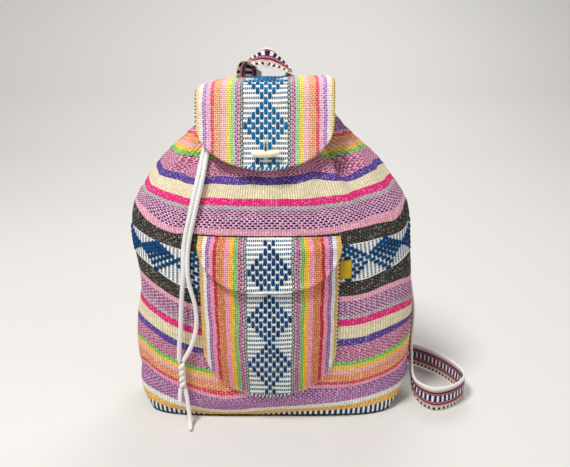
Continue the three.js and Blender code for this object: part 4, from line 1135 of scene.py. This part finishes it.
def flap_point(along, x, stand):
    """A point of the flap, along from its back seam and across from its middle, off its middle layer."""
    x = np.where(x < 0, FLAP_LEFT_SPREAD * x, x)
    read = lambda values, k: np.interp(along, flap_even, values[:, k])
    y, z = read(flap_line, 1), read(flap_line, 2)
    out_y, out_z = read(flap_tangent, 2), -read(flap_tangent, 1)
    share = along / flap_length
    bow = FLAP_BOW * np.abs(2 * share - 1) * (x / FLAP_HALF) ** 2
    edge, hang = ease(np.abs(x), *EDGE_FROM), ease(share, *HANG_FROM)
    ripple = EDGE_RIPPLE * np.sin(along / 11 + np.sign(x)) * edge
    ripple = ripple + HANG_RIPPLE * np.sin(x / 13 + along / 29) * hang
    curl = EDGE_CURL * ease(share, *END_FROM) * edge + TIP_CURL * ease(share, *TIP_FROM)
    lift = stand - bow + (RIPPLE_HANGING * ripple + curl) * hang + RIPPLE_HELD * ripple * (1 - hang)
    left, right = np.clip((-x - 46) / 24, 0, 1) ** 2, np.clip((x - 12) / 50, 0, 1)
    droop = (FLAP_DROOP * left - FLAP_RAISE * right) * ease(z, *DROOP_RISE)
    return np.stack([x + FLAP_SHIFT + 0 * along, y + lift * out_y, z + lift * out_z - droop], -1)


def flap_edge_at(away):
    return flap_length - rounded_end(away, FLAP_HALF, FLAP_ROUND)


def turned_edge(distance):
    """Half the flap's thickness: round at the rim, a little fuller over the hem."""
    rim = np.sqrt(np.clip(1 - (1 - np.clip(distance / 1.1, 0, 1)) ** 2, 0.05, 1))
    return FLAP_THICKNESS / 2 * rim * (1 + 0.16 * bump_at(distance, 2.2, 1.4))


flap_widest, slit_middle = along_flap(332.6), along_flap(309.7)
SLIT_HALF_LENGTH, SLIT_HALF_WIDTH, SLIT_REACH = 9.0, 0.9, 12


def flap_piece():
    """Two halves that meet in the middle, apart from the buttonhole."""
    grids, weaves, faces, count = [], [], [], 0
    away = np.linspace(0, 1, FLAP_COLUMNS + 1)[:, None] ** 0.9 * FLAP_HALF
    along = np.linspace(0, 1, FLAP_ROWS + 1)[None, :] * flap_edge_at(away)
    from_slit = np.clip(np.abs(along - slit_middle) / SLIT_HALF_LENGTH, 0, 1)
    open_by = SLIT_HALF_WIDTH * np.sqrt(1 - from_slit**2) * np.clip(1 - away / SLIT_REACH, 0, 1)
    thick = turned_edge(np.maximum(np.minimum(FLAP_HALF - away, (flap_edge_at(away) - along) * 0.8), 0))
    slit = np.flatnonzero(open_by[0] > 0)
    slit = np.arange(slit[0] - 1, slit[-1] + 2)
    for hand in (-1, 1):
        x = hand * (away + open_by)
        at = count + np.arange(along.size).reshape(along.shape)
        half = sheet_faces(at, at + at.size, slit)
        faces += [face if hand > 0 else face[:, ::-1] for face in half]
        grids += [flap_point(along, x, thick), flap_point(along, x, -thick)]
        weaves += 2 * [np.stack([along, x, (along - flap_widest) / FLAP_ROW], -1)]
        count += 2 * at.size
    piece = mesh_piece("woven_flap", grids, faces, flap_cloth, weaves)
    joined = bmesh.new()
    joined.from_mesh(piece.data)
    bmesh.ops.remove_doubles(joined, verts=joined.verts, dist=1e-6)
    joined.to_mesh(piece.data)
    joined.free()
    stands_for(piece, "flap")
    area = round_ended(2 * FLAP_HALF, flap_length, FLAP_ROUND)


flap_piece()

# Floats in diamonds keep clear of the buttonhole and the edge. Close stitches are worked round the
# buttonhole, and over the hem where the band of diamonds ends.
FLOAT_CLEAR, EDGE_CLEAR = (SLIT_HALF_LENGTH + 3, 3.5), 3.4
BUTTONHOLE_STITCH, BUTTONHOLE_STAND, BUTTONHOLE_STITCHES, STITCH_OUT = (2.4, 0.95, 0.8), 0.1, 36, 1.7
x = np.linspace(-66, 66, 133)
across, along = np.meshgrid(x, np.linspace(0, flap_length, 301), indexing="ij")
outer, inner = (flap_point(along, across, face * FLAP_THICKNESS / 2) for face in (1, -1))
flap_face = ClothGrid(outer, inner, x, along)
# Painted light: a paler copy of the floats' blue, as the flap leans back towards the light from above.
flap_lit_blue = yarn_finish("flap_lit_blue_yarn", "#0b4a78", "#1b78a8")

rows, columns = diamond_spots(*FLAP_FLOATS)
along = flap_widest + rows * FLAP_ROW
clear = np.hypot((along - slit_middle) / FLOAT_CLEAR[0], columns / FLOAT_CLEAR[1]) > 1
clear &= along < flap_edge_at(np.abs(columns)) - EDGE_CLEAR
point, out, _, lie = flap_face.place(columns[clear], along[clear])
yarn_rows("flap_diamonds", point, out, lie, FLOAT_SIZE, FLOAT_STAND, flap_lit_blue, "flap_cloth")

turn = np.linspace(0, 2 * np.pi, BUTTONHOLE_STITCHES, endpoint=False)[:, None]
along = slit_middle + (SLIT_HALF_LENGTH + 1) * np.cos(turn[:, 0])
point, out, across, down = flap_face.place(STITCH_OUT * np.sin(turn[:, 0]), along)
lie = unit(across * np.sin(turn) / STITCH_OUT + down * np.cos(turn) / SLIT_HALF_LENGTH)
yarn_rows("buttonhole_stitches", point, out, lie, BUTTONHOLE_STITCH, BUTTONHOLE_STAND, thread, "cotton_cord")

hem_x = np.arange(-21.0, 21.1, 2.0)
hem_stitches("flap_hem", flap_face, hem_x, flap_edge_at(np.abs(hem_x)), flap_lit_blue)

# Shoulder straps and hanging loop
# Three lengths of narrow warp-faced band, 30 mm wide, doubled under and sewn in with the flap's back seam.
# The band has a rolled white edge, a dotted edge, red and dark lines, and white bars on a navy middle.
BAND_WIDTH, BAND_THICKNESS, BAND_COLUMNS, BAND_YARN, BAND_REPEAT = 30.0, 2.2, 22, 1.1, 3.4
BAND_STRIPES = [
    (4.8, "#efe7da", "#e2d6c6"), (7.2, "#e3bba9", "#d3a293"), (9.0, "#251d30", "#43374a"),
    (11.0, "#c2315d", "#e0809c"), (19.4, "#232c4a", "#1b2239"), (21.2, "#c2315d", "#e0809c"),
    (23.4, "#251d30", "#43374a"), (25.6, "#cbb6a6", "#b59d8d"), (BAND_WIDTH, "#f5f3ef", "#eae6e0"),
]
# The white bars and the dark dots: how far apart, and the middle and half width of their line.
BAR_PITCH, BAR_LINE, BAR_WHITE = 5.8, (15.2, 3.7), "#eceef0"
SPOT_PITCH, SPOT_LINE, SPOT_BLACK = 5.6, (2.6, 1.7), "#1b1a1d"
BEADS, BEAD_PLACE, BEAD_WIDTH, BAND_ROUND_FROM = {1: 0.75, -1: 0.25}, 0.88, 0.1, 0.93


def band_finish():
    """Dashed stripes of warp, with white bars down the middle and dark dots by one edge."""
    material = new_finish("woven_band", 0.9)
    place, along, across, _ = weave_of(material)
    from_edge = across + BAND_WIDTH / 2 + (place.noise(0.9, 1.0) * 0.5 - 0.25)
    shows, dashes = (from_edge.stripes(BAND_STRIPES, pick) for pick in (1, 2))
    yarn = across / BAND_YARN
    turn = along / BAND_REPEAT + yarn.floor() % 2.0 * 0.5
    colour = (1.0 - turn.cell().eased(0.35, 0.65)).mix(shows, dashes)
    bar = (1.0 - (along / BAR_PITCH).cell().eased(0.38, 0.52)) * from_edge.near(*BAR_LINE)
    dot = (1.0 - (along / SPOT_PITCH).cell().eased(0.4, 0.55)) * from_edge.near(*SPOT_LINE)
    colour = dot.mix(bar.mix(colour, BAR_WHITE), SPOT_BLACK)
    height = 1.0 - yarn.cell().eased(0.4, 1.0) * 0.6 - turn.cell().eased(0.5, 1.0) * 0.3
    # Painted shade where the yarns dip between one another, times tone that differs at random.
    light = (height * 0.4 + 0.66) * (place.noise(3.0) * 0.3 + 0.86)
    return coat(material, colour, height, 0.0004, 0.6, light)


woven_band = band_finish()

# Each stop is a place on the band's middle line and the direction in which its white edge lies.
STANDING_HEIGHT = 16.11


def standing(*places):
    """Stops of a band that stands on its dotted edge on the ground."""
    return [(x, y, STANDING_HEIGHT, 0, 0, 1) for x, y in places]


RIGHT_STRAP = [
    (49, 45.49, 331.86, 0.99, -0.15, -0.01), (49, 45.86, 318.85, 0.99, -0.17, -0.01),
    (49, 46.72, 305.88, 0.98, -0.19, -0.01), (84.74, 69.69, 249.03, 0.95, -0.2, 0.1),
    (143.17, 61.32, 182.03, 0.85, -0.5, 0.1), (174.2, 42, 105, 0.05, -1, 0.1),
    (170.3, 2.1, 50.1, -0.1, -0.9, 0.5), (171.8, -30, 18.6, -0.1, -0.25, 0.97),
    *standing((188, -51), (214.1, -43.2), (232.1, -20.1), (226.1, 9), (205.1, 39.9), (175.1, 60)),
    (119.94, 53.44, 17.1, 0, 0, 1), (99.17, 57.72, 16.73, 0, 0, 1),
]
LEFT_STRAP = [
    (-55, 45.49, 331.86, -0.99, -0.15, -0.01), (-55, 45.86, 318.85, -0.99, -0.17, -0.01),
    (-55, 46.72, 305.88, -0.98, -0.19, -0.01), (-80.81, 69.45, 242.24, -0.98, -0.15, 0.1),
    (-98.41, 76.49, 150.49, -0.95, 0.2, 0.1), (-101.52, 76.97, 70.31, -0.8, 0.5, 0.2),
    (-86.94, 95.8, 23.7, -0.25, 0.3, 0.9),
    *standing((-77.28, 149.8), (-115.92, 182.2), (-154.56, 156.1), (-157.78, 97.9), (-144.9, 64)),
    (-119.95, 53.35, 17.14, 0, 0, 1), (-99.17, 57.68, 16.75, 0, 0, 1),
]
HANGING_LOOP = [
    (-24.2, 50.24, 308.43, -1, -0.07, -0.01), (-24.4, 48.71, 332.09, -1, -0.06, 0),
    (-24.8, 47.88, 357.0, -1, -0.06, 0), (-22.8, 46.2, 385.0, -0.84, -0.42, -0.12),
    (-13.5, 45.2, 390.6, -0.3, -0.85, -0.42), (-4, 45.0, 394.2, 0, -0.74, -0.67),
    (5.0, 45.2, 389.6, 0.06, -0.85, -0.5), (14.0, 45.6, 382.8, 0, -0.99, -0.1),
    (21.0, 46.2, 376.6, 0.3, -0.94, -0.1), (21.4, 47.9, 358.0, 0.85, -0.45, -0.1),
    (18.6, 48.71, 332.09, 1, -0.06, 0), (17.8, 50.24, 308.43, 1, -0.07, -0.01),
]
LOOP_RIDGE, STRAP_STEP, LOOP_STEP = 9.0, 1.15, 0.9

# The loop's dotted edge lies where its stops point, and its top is creased to a ridge.
for name, node, stops, step, ridge, white_edge, hangs_from in (
    ("band_right", "shoulder_strap_right", RIGHT_STRAP, STRAP_STEP, 0.0, 1, ["flap", "back_panel"]),
    ("band_left", "shoulder_strap_left", LEFT_STRAP, STRAP_STEP, 0.0, 1, ["flap", "back_panel"]),
    ("band_loop", "hanging_loop", HANGING_LOOP, LOOP_STEP, LOOP_RIDGE, -1, ["flap"]),
):
    stops = np.array(stops)
    line, even, edge = smooth_line(stops[:, :3], step, stops[:, 3:])
    tangent = unit(np.gradient(line, axis=0))
    edge = unit(edge - tangent * np.sum(edge * tangent, 1, keepdims=True))
    normal = np.cross(edge, tangent)
    share, run = np.linspace(-1, 1, BAND_COLUMNS + 1)[None, :], even[:, None]
    away = np.abs(share)
    bead = 1 + np.where(share * white_edge > 0, BEADS[1], BEADS[-1]) * bump_at(away, BEAD_PLACE, BEAD_WIDTH)
    rim = np.clip((away - BAND_ROUND_FROM) / (1 - BAND_ROUND_FROM), 0, 1)
    half = 0.4 * BAND_THICKNESS * bead * np.sqrt(np.clip(1 - rim**2, 0.02, 1))
    crown = ridge * np.maximum(0, np.sin(np.pi * run / even[-1])) ** 8 * (1 - away)
    lift = crown + 0.25 * np.sin(run / 21) * np.sin(np.pi * share)
    flat = line[:, None] + edge[:, None] * share[..., None] * BAND_WIDTH / 2
    outer, inner = (flat + normal[:, None] * (lift + face * half)[..., None] for face in (1, -1))
    weave = run, white_edge * share * BAND_WIDTH / 2, 0
    piece = cloth_sheet(name, node, outer, inner, weave, woven_band)

# Toggle
# A spindle of polished bone, held at its waist by a few turns of fine thread. A short doubled thread
# carries it out of the bag's front through the buttonhole, and it turns on that thread.
TOGGLE_MIDDLE, TOGGLE_ALONG = np.array([-3.0, -69.738, 306.729]), np.array([1.0, 0, 0])
TOGGLE_OUT = np.array([0, -0.94914, 0.31484])
TOGGLE_UP = np.cross(TOGGLE_OUT, TOGGLE_ALONG)
TOGGLE_HALF, TOGGLE_SLIM, TOGGLE_BEND, TOGGLE_TILT, TOGGLE_TIP = 15.0, 0.78, 1.6, 0.05, 0.5
# Half of the spindle, from its waist to its tip: the share of its length, and the radius there.
TOGGLE_PROFILE = [
    (0.06, 3.5), (0.09, 3.75), (0.14, 4.1), (0.3, 4.2), (0.5, 4.0), (0.69, 3.55), (0.84, 2.9),
    (0.94, 2.1), (0.985, 1.3), (1.0, 0.0),
]
TOGGLE_SOFTEN = [0.1, 0.22, 0.36, 0.22, 0.1]
TOGGLE_RINGS, TOGGLE_SIDES, THREAD_SIDES = 97, 40, 10
WHIPPING_TURNS, WHIPPING_RING, WHIPPING_THICK, WHIPPING_WIDTH, WHIPPING_STEP = 3, 3.05, 0.4, 1.6, 0.4
TETHER_START, TETHER_END, TETHER_THICK, TETHER_APART, TETHER_POINTS = 15.8, 4.4, 0.7, 0.75, 24


def bone_finish():
    """Cream bone with a fine grain along it and a little light let through."""
    material = new_finish("polished_bone", 0.38)
    tree = material.node_tree
    surface = tree.nodes["Principled BSDF"].inputs
    surface["Subsurface Weight"].default_value = 0.08
    surface["Subsurface Radius"].default_value = (0.002, 0.0012, 0.0008)
    spot = Worked(tree, tree.nodes.new("ShaderNodeTexCoord").outputs["Object"])
    grain = spot.node("ShaderNodeMapping", {"Vector": spot, "Scale": (60, 900, 900)}).noise(1.0, 4.0)
    colour = grain.mix("#fbf1d8", "#f1e1b8")
    return coat(material, (spot.noise(160.0) * 0.25).mix(colour, "#dcc594"), grain, 0.0002, 0.2)


def round_toggle(angle):
    return np.cos(angle)[..., None] * TOGGLE_UP + np.sin(angle)[..., None] * TOGGLE_OUT


share = np.linspace(-1, 1, TOGGLE_RINGS)
radius = np.interp(np.abs(share), *np.transpose(TOGGLE_PROFILE))
radius = np.convolve(np.pad(radius, 2, mode="edge"), TOGGLE_SOFTEN, "valid")
radius[[0, -1]] = TOGGLE_TIP
x = share * TOGGLE_HALF
turn = np.linspace(0, 2 * np.pi, TOGGLE_SIDES, endpoint=False)
hand_cut = 0.012 * np.sin(3 * turn + 0.7) + 0.01 * np.sin(5 * turn) * np.sin(x / 5)[:, None]
rise = TOGGLE_BEND * share**2 + TOGGLE_TILT * x
line = TOGGLE_MIDDLE + x[:, None] * TOGGLE_ALONG + rise[:, None] * TOGGLE_UP
rings = line[:, None] + round_toggle(turn) * (TOGGLE_SLIM * radius[:, None] * (1 + hand_cut))[..., None]
faces = tube_ends(TOGGLE_RINGS, TOGGLE_SIDES)
toggle = mesh_piece("bone_toggle", [rings, line[[0, -1]]], faces, bone_finish())
stands_for(toggle, "toggle", "toggle_piece")

share = np.linspace(0, 1, 25 * WHIPPING_TURNS)
stops = TOGGLE_MIDDLE + WHIPPING_RING * round_toggle(2 * math.pi * WHIPPING_TURNS * share)
stops[:, 0] += (share - 0.5) * WHIPPING_WIDTH
turns = [smooth_line(stops, WHIPPING_STEP)]
whipping = braided_cord("thread_whipping", turns, cotton_cord, WHIPPING_THICK, THREAD_SIDES)
stands_for(whipping, "toggle_whipping", "toggle_piece")

start, end = (TOGGLE_MIDDLE - back * TOGGLE_OUT for back in (TETHER_START, TETHER_END))
line, even = np.linspace(start, end, TETHER_POINTS), np.linspace(0, TETHER_START - TETHER_END, TETHER_POINTS)
strands = [(line + hand * TETHER_APART * TOGGLE_ALONG, even) for hand in (-1, 1)]
tether = braided_cord("thread_tether", strands, cotton_cord, TETHER_THICK, THREAD_SIDES)
stands_for(tether, "toggle_tether")
